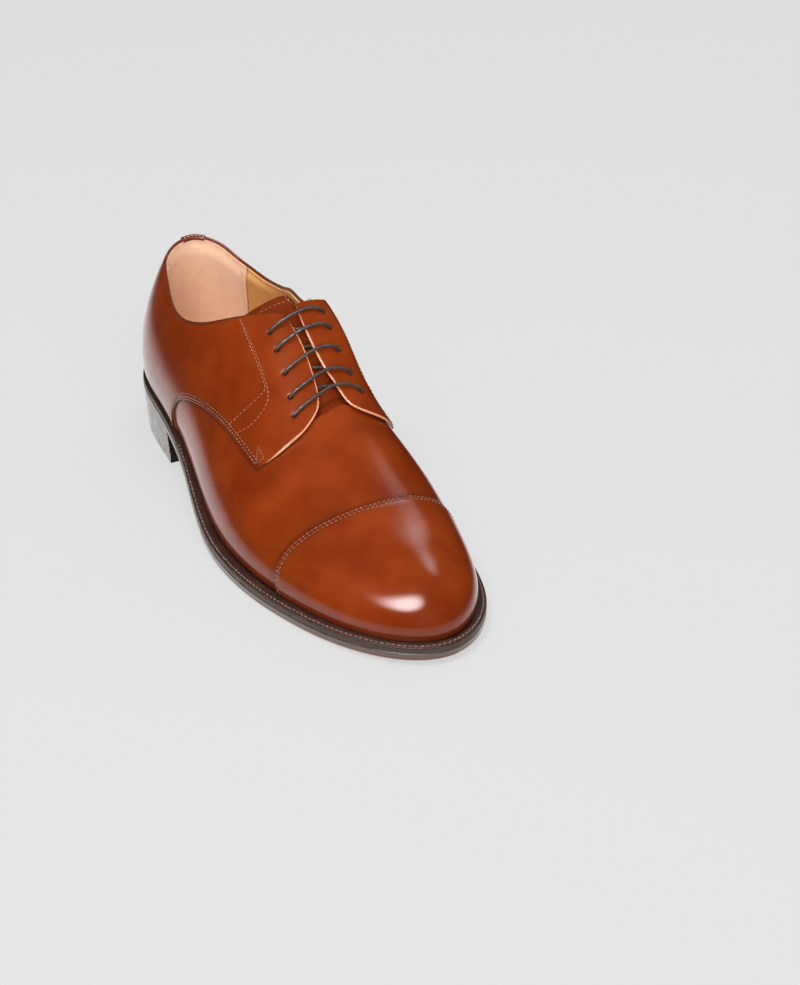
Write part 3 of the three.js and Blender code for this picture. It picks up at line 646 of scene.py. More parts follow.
def metal(name, color, roughness):
    made = material(name, color, roughness, 1.0)
    nodes = Nodes(made)
    nodes.color(nodes.blend(nodes.noise(2, 3), color, tuple(channel * 0.6 for channel in color)))
    nodes.rough(nodes.remap(nodes.noise(1.2, 3), 0.3, 0.7, roughness - 0.1, roughness + 0.15))
    return made


LEATHER = upper_leather()
ROLLED_EDGE = waxed_edge("rolled_edge", (0.15, 0.028, 0.008), (0.09, 0.017, 0.006), 0.36, 0.3)
LEATHER_BACK = fibrous("leather_back", (0.42, 0.2, 0.09), (0.3, 0.13, 0.05), 0.5, 0.9)
CUT_EDGE = waxed_edge("cut_edge", (0.16, 0.045, 0.018), (0.09, 0.024, 0.01), 0.36, 0.4)
LIP_EDGE = waxed_edge("lip_edge", (0.8, 0.36, 0.2), (0.62, 0.25, 0.13), 0.3, 0.5)
SIDE_LINING = fibrous("side_lining", (0.8, 0.43, 0.14), (0.68, 0.34, 0.11), 0.5, 0.55, 0.2, 0.04)
TAN_EDGE = fibrous("tan_edge", (0.92, 0.5, 0.27), (0.8, 0.4, 0.2), 0.4, 0.7, 0.3, 0.03)
HEEL_SUEDE = fibrous("heel_suede", (0.97, 0.66, 0.46), (0.9, 0.57, 0.38), 0.6, 0.85, 0.5, 0.06)
HEEL_SUEDE.node_tree.nodes["Principled BSDF"].inputs["Sheen Weight"].default_value = 0.25
SOCK = fibrous("sock_leather", (0.68, 0.4, 0.24), (0.56, 0.3, 0.17), 0.6, 0.6, 0.25, 0.04)
NATURAL = fibrous("natural_leather", (0.5, 0.3, 0.15), (0.4, 0.22, 0.1), 0.6, 0.8)
BOARD = fibrous("stiffener_board", (0.5, 0.4, 0.28), (0.4, 0.3, 0.2), 0.5, 0.9)
CORK = fibrous("cork_filler", (0.36, 0.2, 0.09), (0.12, 0.06, 0.025), 1.4, 0.95, 0.8, 0.3)
WELT = waxed_edge("welt_leather", (0.042, 0.016, 0.009), (0.022, 0.009, 0.006), 0.5, 0.03)
SOLE_EDGE = waxed_edge("sole_edge", (0.075, 0.045, 0.033), (0.045, 0.026, 0.019), 0.33, 0.4)
SOLE_RED = waxed_edge("sole_edge_lower", (0.115, 0.032, 0.022), (0.07, 0.02, 0.014), 0.36, 0.3)
SOLE_BOTTOM = waxed_edge("sole_bottom", (0.2, 0.075, 0.035), (0.14, 0.05, 0.024), 0.42, 0.2)
HEEL_STACK = waxed_edge("heel_stack", (0.06, 0.036, 0.022), (0.05, 0.03, 0.018), 0.32, 0.22)
RUBBER = waxed_edge("heel_rubber", (0.05, 0.032, 0.022), (0.04, 0.025, 0.017), 0.34, 0.22)
# near-black and hardly reflecting: painted shade on the heel's front face, which lies in shadow under the
# shank
HEEL_BREAST_SHADE_LOOK = fibrous("heel_breast_painted_shade", (0.016, 0.01, 0.008), (0.009, 0.006, 0.005), 0.5, 0.85, 0.4,
                           0.05, Specular_IOR_Level=0.1)
BRASS = metal("nail_brass", (0.55, 0.36, 0.14), 0.35)
EYELET_METAL = metal("eyelet_brass", (0.42, 0.27, 0.12), 0.4)
STEEL = metal("shank_steel", (0.5, 0.5, 0.5), 0.35)
THREAD_BROWN = fibrous("thread_brown", (0.36, 0.18, 0.12), (0.12, 0.045, 0.025), 0.25, 0.6, 0.6, 0.05)
THREAD_SOFT = fibrous("thread_soft", (0.34, 0.155, 0.095), (0.22, 0.085, 0.05), 0.25, 0.6, 0.6, 0.05)
THREAD_WELT = fibrous("thread_welt", (0.22, 0.14, 0.115), (0.1, 0.06, 0.045), 0.25, 0.55, 0.6, 0.05)
THREAD_TAN = fibrous("thread_tan", (0.95, 0.62, 0.36), (0.8, 0.46, 0.24), 0.25, 0.7, 0.6, 0.05)


def lace_material():
    made = material("lace_cord", (0.028, 0.017, 0.012), 0.45)
    nodes = Nodes(made)
    nodes.color(nodes.blend(nodes.remap(nodes.noise(0.4, 3), 0.3, 0.7), (0.075, 0.052, 0.042),
                            (0.022, 0.014, 0.011)))
    nodes.shader.inputs["Coat Weight"].default_value = 0.25
    nodes.shader.inputs["Coat Roughness"].default_value = 0.3
    nodes.bump(nodes.noise(0.2, 2), 0.35, 0.04)
    return made


LACE = lace_material()
AGLET = material("aglet_film", (0.02, 0.012, 0.009), 0.2, Coat_Weight=0.5)

# ---- camera ----
VIEW_AZIMUTH, VIEW_ELEVATION = math.radians(63.15), math.radians(30.54)
VIEW_DISTANCE = 1239.3
VIEW_LENS = 89.84
VIEW_AIM = np.array([31.6, 41.2, 19.0])


def add_camera():
    back = np.array([
        math.sin(VIEW_AZIMUTH) * math.cos(VIEW_ELEVATION),
        -math.cos(VIEW_AZIMUTH) * math.cos(VIEW_ELEVATION),
        math.sin(VIEW_ELEVATION),
    ])
    data = bpy.data.cameras.new("camera")
    data.sensor_fit = "AUTO"
    data.sensor_width = 36
    data.lens = VIEW_LENS
    data.clip_end = 20
    camera = bpy.data.objects.new("camera", data)
    bpy.context.scene.collection.objects.link(camera)
    camera.location = Vector((VIEW_AIM + back * VIEW_DISTANCE) * MM)
    camera.rotation_euler = Vector(back).to_track_quat("Z", "Y").to_euler()
    bpy.context.scene.camera = camera


add_camera()


# ---- stitches and cords ----
def surface_frame(places, offset):
    """Points and normals along a line of places, at an offset from the last."""
    points = lifted(places, offset)
    return points, normal_at(np.asarray(places, float))


def resampled(points, normals, spacing):
    total = lengths_of(points)
    count = max(2, int(total[-1] / spacing))
    wanted = np.linspace(0, total[-1], count + 1)
    def along(values):
        return np.stack([np.interp(wanted, total, values[:, k]) for k in range(3)], -1)
    return along(points), along(normals)


STITCH_SIDES = 6
STITCH_STEPS = np.array([-1, -0.8, -0.4, 0, 0.4, 0.8, 1])


def stitch_points(points, normals, pitch, length, radius, lift):
    """The rings of every stitch along a line: each dips into the leather at both ends."""
    total = lengths_of(points)
    centres = np.arange(pitch / 2, total[-1] - pitch / 2, pitch)
    wanted = centres[:, None] + STITCH_STEPS * length / 2

    def along(values):
        return np.stack([np.interp(wanted, total, values[:, k]) for k in range(3)], -1)

    middle, up = along(points), along(normals)
    up = unit(up)
    ahead = np.gradient(middle, axis=1)
    ahead = unit(ahead)
    side = np.cross(up, ahead)
    profile = np.sqrt(np.clip(1 - 0.85 * STITCH_STEPS**2, 0, 1))
    rise = (lift * (1 - STITCH_STEPS**2) - radius * 1.3 * STITCH_STEPS**4)[None, :, None]
    middle = middle + up * rise
    angles = 2 * math.pi * np.arange(STITCH_SIDES) / STITCH_SIDES
    rings = [middle + (side * math.cos(angle) + up * math.sin(angle) * 0.8) * radius
             * profile[None, :, None]
             for angle in angles]
    return np.stack(rings, 2)


def tube_faces(copies, steps, sides):
    ids = np.arange(copies * steps * sides).reshape(copies, steps, sides)
    turned = np.roll(ids, -1, 2)
    walls = np.stack([ids[:, :-1], turned[:, :-1], turned[:, 1:], ids[:, 1:]], -1).reshape(-1, 4)
    caps = np.concatenate([ids[:, 0, ::-1], ids[:, -1]])
    return walls.tolist() + caps.tolist()


def stitch_row(name, rows, thread, pitch=2.6, length=2.1, radius=0.26, lift=0.12, body="shoe"):
    """One piece of thread geometry from several lines, each (points, normals)."""
    stitched = np.concatenate([stitch_points(*row, pitch, length, radius, lift) for row in rows])
    copies, steps, sides = stitched.shape[:3]
    mesh = mesh_of(name, stitched.reshape(-1, 3), tube_faces(copies, steps, sides), [thread])
    return new_object(name, mesh, body=body)


def row_along(places, offset):
    """A stitch line on the surface; offset is a number or a function of the places."""
    places = np.asarray(places, float)
    height = offset(places) if callable(offset) else offset
    return surface_frame(places, height)


def sweep(name, points, normals, section, materials, slot=None, replaces=(), ripple=None):
    """A closed tube along a line. section lists (sideways, up) corners."""
    ahead = np.gradient(points, axis=0)
    ahead = unit(ahead)
    side = np.cross(normals, ahead)
    side = unit(side)
    up = np.cross(ahead, side)
    swell = ripple(len(points), len(section)) if ripple else np.ones((len(points), len(section)))
    rings = np.stack([
        points + (side * across + up * above) * swell[:, k, None]
        for k, (across, above) in enumerate(section)
    ], 1)
    mesh = mesh_of(name, rings.reshape(-1, 3), tube_faces(1, *rings.shape[:2]), materials)
    return new_object(name, mesh, slot=slot, replaces=replaces)


def from_ends(count):
    """How many steps each of a line's points is from the nearer end."""
    return np.minimum(np.arange(count), np.arange(count)[::-1])


def even_swell(sizes):
    """A tube's thickness along its length, the same all round."""
    return lambda steps, sides: np.repeat(sizes[:, None], sides, 1)


def oval(half_width, half_height, sides):
    angles = 2 * math.pi * np.arange(sides) / sides
    return [(half_width * math.cos(angle), half_height * math.sin(angle)) for angle in angles]


# ---- sole ----
PLATE_LENGTH, PLATE_WIDTH = 220, 110     # rough size of a whole plate, for the number of steps


def plate(name, stations, grow, top, bottom, materials, step=2.5, radius=0.5, wall=(), **placing):
    """A flat-lying piece between the footprints of both sides, with rounded edges."""
    outer_to, inner_to = stations
    a = spaced(PLATE_LENGTH * outer_to / TOE, step)
    b = spaced(PLATE_WIDTH, step)
    grid_a, grid_b = np.meshgrid(a, b, indexing="ij")
    outer = footprint(grid_a * outer_to, grow(grid_a * outer_to))
    inner = footprint(ROUND - grid_a * inner_to, grow(ROUND - grid_a * inner_to))
    spot = outer + (inner - outer) * grid_b[..., None]
    outline = plate_outline(outer_to, inner_to, grow)
    away = distance_to(spot, outline)
    x = spot[..., 0]
    high = top(x) - fillet(away, radius)
    low = bottom(x) + fillet(away, radius)
    over = np.concatenate([spot, high[..., None]], -1)
    under = np.concatenate([spot, low[..., None]], -1)
    mesh = shell_mesh(name, over, under, materials, None, wall)
    return new_object(name, mesh, **placing)


def plate_outline(outer_to, inner_to, grow):
    t = np.linspace(outer_to, 0, 300)
    s = np.linspace(ROUND, ROUND - inner_to, 300)
    loop = np.concatenate([footprint(t, grow(t)), footprint(s, grow(s))])
    share = np.linspace(0, 1, 60)[:, None]
    return np.concatenate([loop, loop[-1] + (loop[0] - loop[-1]) * share])


def distance_to(spots, outline):
    flat = spots.reshape(-1, 2)
    start, end = outline[:-1], outline[1:]
    span = end - start
    size = np.maximum((span * span).sum(-1), 1e-12)
    nearest = np.full(len(flat), 1e9)
    for low in range(0, len(flat), 4000):
        part = flat[low:low + 4000, None]
        share = np.clip(((part - start) * span).sum(-1) / size, 0, 1)[..., None]
        gap = np.linalg.norm(part - (start + span * share), axis=-1)
        nearest[low:low + 4000] = gap.min(1)
    return nearest.reshape(spots.shape[:-1])


def below_feather(drop):
    return lambda x: feather_height(x) - drop


def flat(value):
    return lambda x: np.full(np.shape(x), float(value))


def breast_stations():
    t = np.linspace(0.5, 5, 4000)
    outer = np.interp(HEEL_BREAST, ring(t)[..., 0], t)
    inner = np.interp(HEEL_BREAST, ring(ROUND - t)[..., 0], t)
    return outer, inner


WHOLE = (TOE, TOE)
BREAST = breast_stations()
WELT_BOTTOM = WELT_DROP + WELT_THICK
OUTSOLE_TOP = WELT_BOTTOM + 0.03
SOLE_WALL = [
    (0.0, 0.08, 2), (0.05, 0.14, 2), (0.3, 0.16, 2), (0.6, 0.15, 2), (0.635, 0.1, 2), (0.65, 0.1, 3),
    (0.69, 0.16, 3), (0.87, 0.12, 3), (0.96, 0.04, 3),
]


def make_sole():
    plate("outsole_leather", WHOLE, welted, below_feather(OUTSOLE_TOP), below_feather(BALL_HEIGHT),
          [SOLE_EDGE, SOLE_BOTTOM, SOLE_EDGE, SOLE_RED], wall=SOLE_WALL, slot="sole_leather",
          replaces=["outsole"])
    plate("insole_sock", (4.0, 4.0), flat(-3.2), below_feather(-3.9), below_feather(-2.8),
          [SOCK], radius=0.4, slot="sock_leather", replaces=["sock_liner"])


LIFTS_FROM = TOP_PIECE_THICK + 0.12
LIFTS_TO = SEAT_HEIGHT - BALL_HEIGHT
LIFT_WALL = [(0.0, 0.0, 0), (0.02, 0.01, 0), (0.98, 0.01, 0), (1.0, 0.0, 0)]


FACING_FORWARD = 0.9           # a normal's x, on the heel's front face


def heel_grow(z):
    return flat(1.2 + 1.6 * z / LIFTS_TO)


def make_heel():
    pitch = (LIFTS_TO - LIFTS_FROM) / HEEL_LIFTS
    for i in range(HEEL_LIFTS):
        low = LIFTS_FROM + i * pitch
        top = below_feather(BALL_HEIGHT + 0.1) if i == HEEL_LIFTS - 1 else flat(low + pitch - 0.02)
        heel_slab(f"stacked_lift_{i + 1}", low, low + pitch, top, HEEL_STACK, "heel_leather",
                  f"heel_lift_{i + 1}")
    heel_slab("heel_tip_rubber", 0, TOP_PIECE_THICK, flat(TOP_PIECE_THICK), RUBBER, "heel_rubber",
              "heel_top_piece")


def heel_slab(name, low, high, top, look, slot, node):
    piece = plate(name, BREAST, heel_grow((low + high) / 2), top, flat(low),
                  [look, look, HEEL_BREAST_SHADE_LOOK],
                  radius=0.02, wall=LIFT_WALL, slot=slot, replaces=[node])
    # faces turned forward, on the heel's front, get the painted-shade material
    for face in piece.data.polygons:
        if face.normal.x > FACING_FORWARD:
            face.material_index = 2


WELT_STITCH_SHARE = 0.78       # of the welt's width
WELT_PITCH = 2.75


def make_welt():
    """A ring round the upper: a sunk stitch line, a ribbed edge and a rounded rim."""
    columns = 2400
    t = ROUND * np.arange(columns) / columns
    reach = welted(t)
    length = lengths_of(np.concatenate([footprint(t, reach), footprint(t[:1], reach[:1])]))[:-1]
    in_front = smooth(75, 120, ring(t)[..., 0])
    ribs = 0.5 + 0.5 * np.cos(2 * math.pi * length / WELT_PITCH)
    rows = []
    for share, drop in ((0, 0), (0.35, 0), (0.6, 0), (0.66, 0.04), (0.71, 0.14), (0.78, 0.2),
                        (0.84, 0.14),
                        (0.88, 0.04), (0.91, 0.0), (0.93, 0.0), (0.965, 0.06), (0.985, 0.2), (1, 0.5)):
        inner_edge = -1 + (reach + 1) * share
        channel = drop if share > 0.93 else drop * in_front
        rib = 0.22 * ribs * in_front * (0.66 < share < 0.99)
        rows.append((inner_edge, WELT_DROP + channel + rib))
    for push, depth in ((0.1, 1.2), (0.14, 2.2), (0.13, 2.8), (0.08, 2.95)):
        rows.append((reach + push, WELT_DROP + depth))
    rows.append((reach * 0 - 1, WELT_DROP + WELT_THICK - 0.05))
    rings = []
    for outline, drop in rows:
        spot = footprint(t, outline)
        rings.append(np.concatenate([spot, (feather_height(spot[..., 0]) - drop)[..., None]], -1))
    grid = np.stack(rings, 1)
    ids = np.arange(columns * len(rows)).reshape(columns, len(rows))
    ahead, across = np.roll(ids, -1, 0), np.roll(ids, -1, 1)
    faces = np.stack([ids, ahead, np.roll(ahead, -1, 1), across], -1).reshape(-1, 4)
    mesh = mesh_of("welt_strip", grid.reshape(-1, 3), faces.tolist(), [WELT])
    new_object("welt_strip", mesh, slot="welt_leather", replaces=["welt"])


def welt_stitches():
    t = np.linspace(2.9, ROUND - 2.75, 1600)
    spot = footprint(t, -1 + (welted(t) + 1) * WELT_STITCH_SHARE)
    points = np.concatenate([spot, (feather_height(spot[..., 0]) - WELT_DROP - 0.2)[..., None]], -1)
    normals = np.broadcast_to([0.0, 0.0, 1.0], points.shape)
    stitch_row("welt_stitches", [(points, normals)], THREAD_WELT, WELT_PITCH, 2.35, 0.5, 0.3)


# ---- the upper ----
QUARTER_OVER = 1.55            # offset of the quarters' outside face, away from the lacing flaps
QUARTER_UNDER = 0.12
FLAP_OVER = 2.95               # and at the lacing flaps, that lie on the tongue
FLAP_THICK = 1.3
LINING_THICK = 0.75
CAP_OVER, CAP_UNDER = 1.15, 0.06
VAMP_UNDER = -1.1
FOOT_DIP = 0.012               # crossings that the upper runs on below the feather line


def flap_raise(places):
    station, crossing = places[..., 0], places[..., 1]
    return smooth(3.1, 3.5, station) * smooth(-0.58, -0.14, -np.abs(crossing))


def burnish(places, edges, sides=()):
    """How dark the polish is: at the heel, along the welt, at the toe and along the seams."""
    station, crossing = places[..., 0], np.abs(places[..., 1])
    tone = 0.42 * smooth(0.82, 1.0, crossing) + 0.3 * smooth(1.6, 0.2, station)
    tone = tone + 0.22 * smooth(7.2, 8, station)
    for side in sides:
        tone = tone + 0.3 * np.exp(-edges[side] / 1.6) + 0.14 * np.exp(-edges[side] / 7)
    return np.clip(tone, 0, 1)


def skived(edges, sides, amount, reach=4.0):
    """How much thinner the leather is towards its seam edges."""
    return sum(amount * (1 - smooth(0, reach, edges[side])) for side in sides)


SEAM_ROWS = (1.5, 3.2)         # distances of the two rows of stitches from a quarter's edge
CAP_ROWS = (1.3, 3.0)          # and from the cap's edge
ROW_SINK = 0.17


def sewn(edges, side, rows):
    """1 on each row of stitches along an edge, and 0 away from them."""
    return sum(np.exp(-((edges[side] - row) / 0.38) ** 2) for row in rows)


def beside(places, lines):
    """How far each place is from the nearest of some lines."""
    points = lifted(places).reshape(-1, 3)
    spots = np.concatenate([lifted(one) for one in lines])
    parts = [points[low:low + 2000, None] - spots for low in range(0, len(points), 2000)]
    nearest = np.concatenate([np.linalg.norm(part, axis=-1).min(1) for part in parts])
    return nearest.reshape(places.shape[:-1])


def dipped(points):
    """A line from sole to sole, drawn on past both feather lines."""
    first, last = points[0], points[-1]
    low = (first[0], first[1] * (1 + FOOT_DIP))
    end = (last[0], last[1] * (1 + FOOT_DIP)) if abs(last[1]) == 1 else last
    return [low, *points[1:-1], end]


VAMP_REAR = VAMP_REAR_HALF + mirrored(VAMP_REAR_HALF)[-2::-1]
TOE_LINE = straight((TOE, -1 - FOOT_DIP), (TOE, 1 + FOOT_DIP))
HIDDEN_MARGIN = 0.2


def vectors_of(items, field):
    values = np.zeros(len(items) * 3)
    items.foreach_get(field, values)
    return values.reshape(-1, 3)


def fitted_heights(spots, sources, reach=7.5):
    """Heights at spots of a smooth surface through the sources, by local quadratic fits."""
    heights = []
    for spot in spots:
        u, v = (sources[:, :2] - spot).T
        terms = np.stack([np.ones_like(u), u, v, u * u, u * v, v * v], -1)
        weight = np.exp(-(u * u + v * v) / (2 * reach * reach))[:, None]
        fit = np.linalg.solve(terms.T @ (terms * weight), terms.T @ (sources[:, 2:] * weight))
        heights.append(fit[0, 0])
    return np.array(heights)


TIP_RING = (8, 15)             # millimetres from the tip: where the surface's direction is taken
TIP_SOURCES = 42               # how far out the fitted surface looks
TIP_EASED = 24                 # and how far out it moves the leather
TIP_FADE = (23, 12)            # from no change to the whole change
TIP_PINCH = 2.2                # the pinched faces that are replaced


def outside_vertices(mesh):
    """True for the vertices of the faces in the first material."""
    outside = np.zeros(len(mesh.vertices), bool)
    for face in mesh.polygons:
        if face.material_index == 0:
            outside[list(face.vertices)] = True
    return outside


def axes_round(up):
    """Three axes, the last along a direction."""
    up = up / np.linalg.norm(up)
    along = np.cross([0.0, 1.0, 0.0], up)
    along /= np.linalg.norm(along)
    return np.stack([along, np.cross(up, along), up], -1)


def cell_means(points):
    """The mean point in every square millimetre."""
    _, cell = np.unique(np.round(points[:, :2]), axis=0, return_inverse=True)
    cell = cell.reshape(-1)
    count = np.bincount(cell)
    return np.stack([np.bincount(cell, points[:, k]) / count for k in range(3)], -1)


def refilled_tip(mesh, away):
    """Replaces the pinched faces at the tip by a flat patch."""
    thinned = bmesh.new()
    thinned.from_mesh(mesh)
    pinched = [face for face in thinned.faces
               if face.material_index == 0 and min(away[vert.index] for vert in face.verts) < TIP_PINCH]
    bmesh.ops.delete(thinned, geom=pinched, context="FACES")
    rim = [edge for edge in thinned.edges if edge.is_boundary]
    patched = bmesh.ops.holes_fill(thinned, edges=rim, sides=0)["faces"]
    bmesh.ops.triangulate(thinned, faces=patched)
    bmesh.ops.recalc_face_normals(thinned, faces=thinned.faces)
    for face in thinned.faces:
        face.smooth = True
    thinned.to_mesh(mesh)
    thinned.free()
    mesh.update()


def eased_toe(piece):
    """Smooths the cap's outside where the ridge ends, over the millimetres round that place."""
    mesh = piece.data
    points = vectors_of(mesh.vertices, "co") / MM
    outside = outside_vertices(mesh)
    tip = to_metres(lifted(np.array([TOE - 0.02, 0.0]), CAP_OVER)) / MM
    away = np.linalg.norm(points - tip, axis=-1)
    ring_round = outside & (away > TIP_RING[0]) & (away < TIP_RING[1])
    axes = axes_round(vectors_of(mesh.vertex_normals, "vector")[ring_round].mean(0))
    local = (points - tip) @ axes
    sources = cell_means(local[outside & (away < TIP_SOURCES)])
    near = outside & (away < TIP_EASED)
    change = (fitted_heights(local[near, :2], sources) - local[near, 2]) * smooth(*TIP_FADE, away[near])
    points[near] += change[:, None] * axes[:, 2]
    mesh.vertices.foreach_set("co", (points * MM).reshape(-1))
    refilled_tip(mesh, away)


def vamp_burnish_and_shadow(places, edges):
    """The vamp's tone: the polish's burnish, a narrow painted shadow where the edges of the quarters and
    the cap lie over it, and a wider darker band beside those edges.
    """
    share = np.linspace(0, 1, 260)
    lines = [line(QUARTER_SEAM[side])(share) for side in SIDES] + [cap_line()(share)]
    away = beside(places, lines)
    # 0.55 * exp(-away / 0.9) is the painted shadow under the overlapping edges; the 0.2 band darkens the
    # vamp further out from them
    tone = burnish(places, edges) * 0.9 + 0.55 * np.exp(-away / 0.9) + 0.2 * np.exp(-away / 6)
    return np.clip(tone, 0, 1)


def cap_over(places, edges):
    return CAP_OVER - skived(edges, ["back"], 0.3) - ROW_SINK * sewn(edges, "back", CAP_ROWS)


def cap_burnish_and_stitch_shade(places, edges):
    # 0.4 * sewn(...) is painted shade in the sunk stitch rows along the cap's edge
    return burnish(places, edges, ["back"]) + 0.4 * sewn(edges, "back", CAP_ROWS)


def make_vamp():
    rear = line(dipped(VAMP_REAR))
    front = cap_line(HIDDEN_MARGIN, FOOT_DIP)
    panel("vamp_leather", between(rear, front), always(0), always(VAMP_UNDER), (110, 230),
          [LEATHER, LEATHER_BACK, CUT_EDGE], ("back",), radius=0.45,
          tone=vamp_burnish_and_shadow, slot="upper_leather", replaces=["vamp"])
    cap = panel("toe_cap_leather", between(cap_line(0, FOOT_DIP), TOE_LINE), cap_over,
                always(CAP_UNDER), (75, 200), [LEATHER, LEATHER_BACK, CUT_EDGE], ("back",),
                radius=0.5, meets=True, tone=cap_burnish_and_stitch_shade, slot="upper_leather", replaces=["toe_cap"])
    eased_toe(cap)
    panel("vamp_lining_leather", between(line(shifted(VAMP_REAR, 0.05)), straight((TOE, -1), (TOE, 1))),
          always(-1.8), always(-2.5), (190, 230), [SIDE_LINING], (), 3.0, meets=True, slot="side_lining",
          replaces=["vamp_lining"])


def quarter_place(side):
    sign = SIGN[side]
    low = sign * (1 + FOOT_DIP)
    start = (0.0015, low)
    seam = [(QUARTER_SEAM[side][0][0], low), *QUARTER_SEAM[side][1:]]
    bottom = joined(straight(start, seam[0]), line(seam), 0.45)
    rim = [(0.0015, TOPLINE[side][0][1]), *TOPLINE[side][1:]]
    top = joined(line(rim), line(FLAP_EDGE[side]), 0.66)
    return patch(bottom, top, straight(start, rim[0]), line(FLAP_FOOT[side]))


LIP_BELOW = 0.72               # below the flap's outside face


def make_flap_lips():
    """The pale turned edge that shows under the front edges of each lacing flap."""
    for side in SIDES:
        corner = FLAP_EDGE[side] + FLAP_FOOT[side][-2::-1]
        places = line(corner)(np.linspace(0.06, 0.95, 300))
        surface = quarter_surface(side)
        points, normals = surface_frame(places, surface(places) - LIP_BELOW)
        points, normals = resampled(points, normals, 0.7)
        swell = even_swell(0.3 + 0.7 * smooth(0, 14, from_ends(len(points))))
        sweep(f"flap_lip_{side}", points, normals, oval(0.5, 0.62, 12), [LIP_EDGE], slot="side_lining",
              ripple=swell)


def eyelet_places(side):
    """The five holes, evenly spaced in the curve's own measure."""
    p0, p1, p2 = np.array(EYELET_ROW[side], float)
    dense = spline([p0, p1, p2], 100)
    return dense[np.round(np.linspace(0, len(dense) - 1, EYELETS)).astype(int)]


EYELET_AT = {side: eyelet_places(side) for side in SIDES}
HOLE_RADIUS = 1.3
DIMPLE_DEPTH, DIMPLE_REACH = 0.42, 1.7


def dimples(places, side):
    """Sunk leather round each lace hole."""
    points = lifted(places)
    sunk = np.zeros(places.shape[:-1])
    for hole in EYELET_AT[side]:
        away = np.linalg.norm(points - lifted(hole), axis=-1)
        sunk = np.maximum(sunk, DIMPLE_DEPTH * np.exp(-(away / DIMPLE_REACH) ** 2))
    return sunk


FLAP_LIFT = {"outer": 0.4, "inner": 3.6}
FLAP_BULGE = {"outer": 0.0, "inner": 4.0}


def flap_lift(side, places):
    """How far the back corner of each lacing flap stands up off the tongue."""
    station, crossing = places[..., 0], SIGN[side] * places[..., 1]
    lengthwise = smooth(2.6, 3.3, station) * smooth(4.5, 3.6, station)
    bulge = FLAP_BULGE[side] * smooth(2.9, 3.35, station) * smooth(5.0, 3.5, station)
    lift = FLAP_LIFT[side] * lengthwise * smooth(0.5, 0.22, crossing)
    return lift + bulge * np.exp(-((crossing - 0.27) / 0.17) ** 2)


def quarter_surface(side):
    """Offset of the quarter's outside face."""
    def over(places):
        raised = (FLAP_OVER - QUARTER_OVER) * flap_raise(places)
        return QUARTER_OVER + raised + flap_lift(side, places)
    return over


def quarter_over(side):
    surface = quarter_surface(side)
    return lambda places, edges: (surface(places) - skived(edges, ["bottom"], 0.5) - dimples(places, side)
                                  - ROW_SINK * sewn(edges, "bottom", SEAM_ROWS))


def quarter_under(side):
    surface = quarter_surface(side)
    thick = lambda places: (QUARTER_OVER - QUARTER_UNDER
                            + (FLAP_THICK - QUARTER_OVER + QUARTER_UNDER) * flap_raise(places))
    return lambda places, edges: surface(places) - thick(places)


def cut_holes(piece, side, radius=HOLE_RADIUS):
    """Punches the lace holes through a flap."""
    for hole in EYELET_AT[side]:
        centre, normal = lifted(hole, 1.5 + float(flap_lift(side, hole))), normal_at(hole)
        bpy.ops.mesh.primitive_cylinder_add(
            vertices=32, radius=radius * MM, depth=10 * MM, location=to_metres(centre))
        punch = bpy.context.object
        punch.rotation_euler = Vector(normal).to_track_quat("Z", "Y").to_euler()
        cut = piece.modifiers.new("hole", "BOOLEAN")
        cut.operation = "DIFFERENCE"
        cut.solver = "EXACT"
        cut.object = punch
        bpy.context.view_layer.update()
        bpy.context.view_layer.objects.active = piece
        bpy.ops.object.modifier_apply(modifier=cut.name)
        bpy.data.objects.remove(punch)


def quarter_burnish_and_shade(places, edges, side):
    # 0.4 * sewn(...) is painted shade in the sunk stitch rows along the quarter's edge
    tone = burnish(places, edges, ["bottom"]) + 0.4 * sewn(edges, "bottom", SEAM_ROWS)
    # 0.5 * dimples(...) is painted shade in the sunk leather round each lace hole
    return np.clip(tone + 0.5 * dimples(places, side), 0, 1)


def make_quarters():
    for side in SIDES:
        piece = panel(f"quarter_{side}_leather", quarter_place(side), quarter_over(side),
                      quarter_under(side), (235, 62), [LEATHER, LEATHER_BACK, CUT_EDGE], step=1.2,
                      radius=0.55,
                      tone=lambda places, edges: quarter_burnish_and_shade(places, edges, side),
                      slot="upper_leather", replaces=[f"quarter_{side}"])
        cut_holes(piece, side)


# ---- linings ----
def lining_rise(edges, sides, low, high, reach=5.0):
    """The lining runs low and rises to meet the outside leather at its sewn edges."""
    nearest = np.min([edges[side] for side in sides], axis=0)
    return low + (high - low) * (1 - smooth(1.0, reach, nearest))


def quarter_lining_over(side):
    """Level with the heel lining where they meet, and close under the quarter from there on."""
    def over(places, edges):
        low = 0.25 + 0.1 * flap_raise(places) + flap_lift(side, places)
        low = low - 2.1 * (1 - smooth(1.3, 2.1, places[..., 0]))
        return lining_rise(edges, ["top"], low, quarter_under(side)(places, edges) - 0.04)
    return over


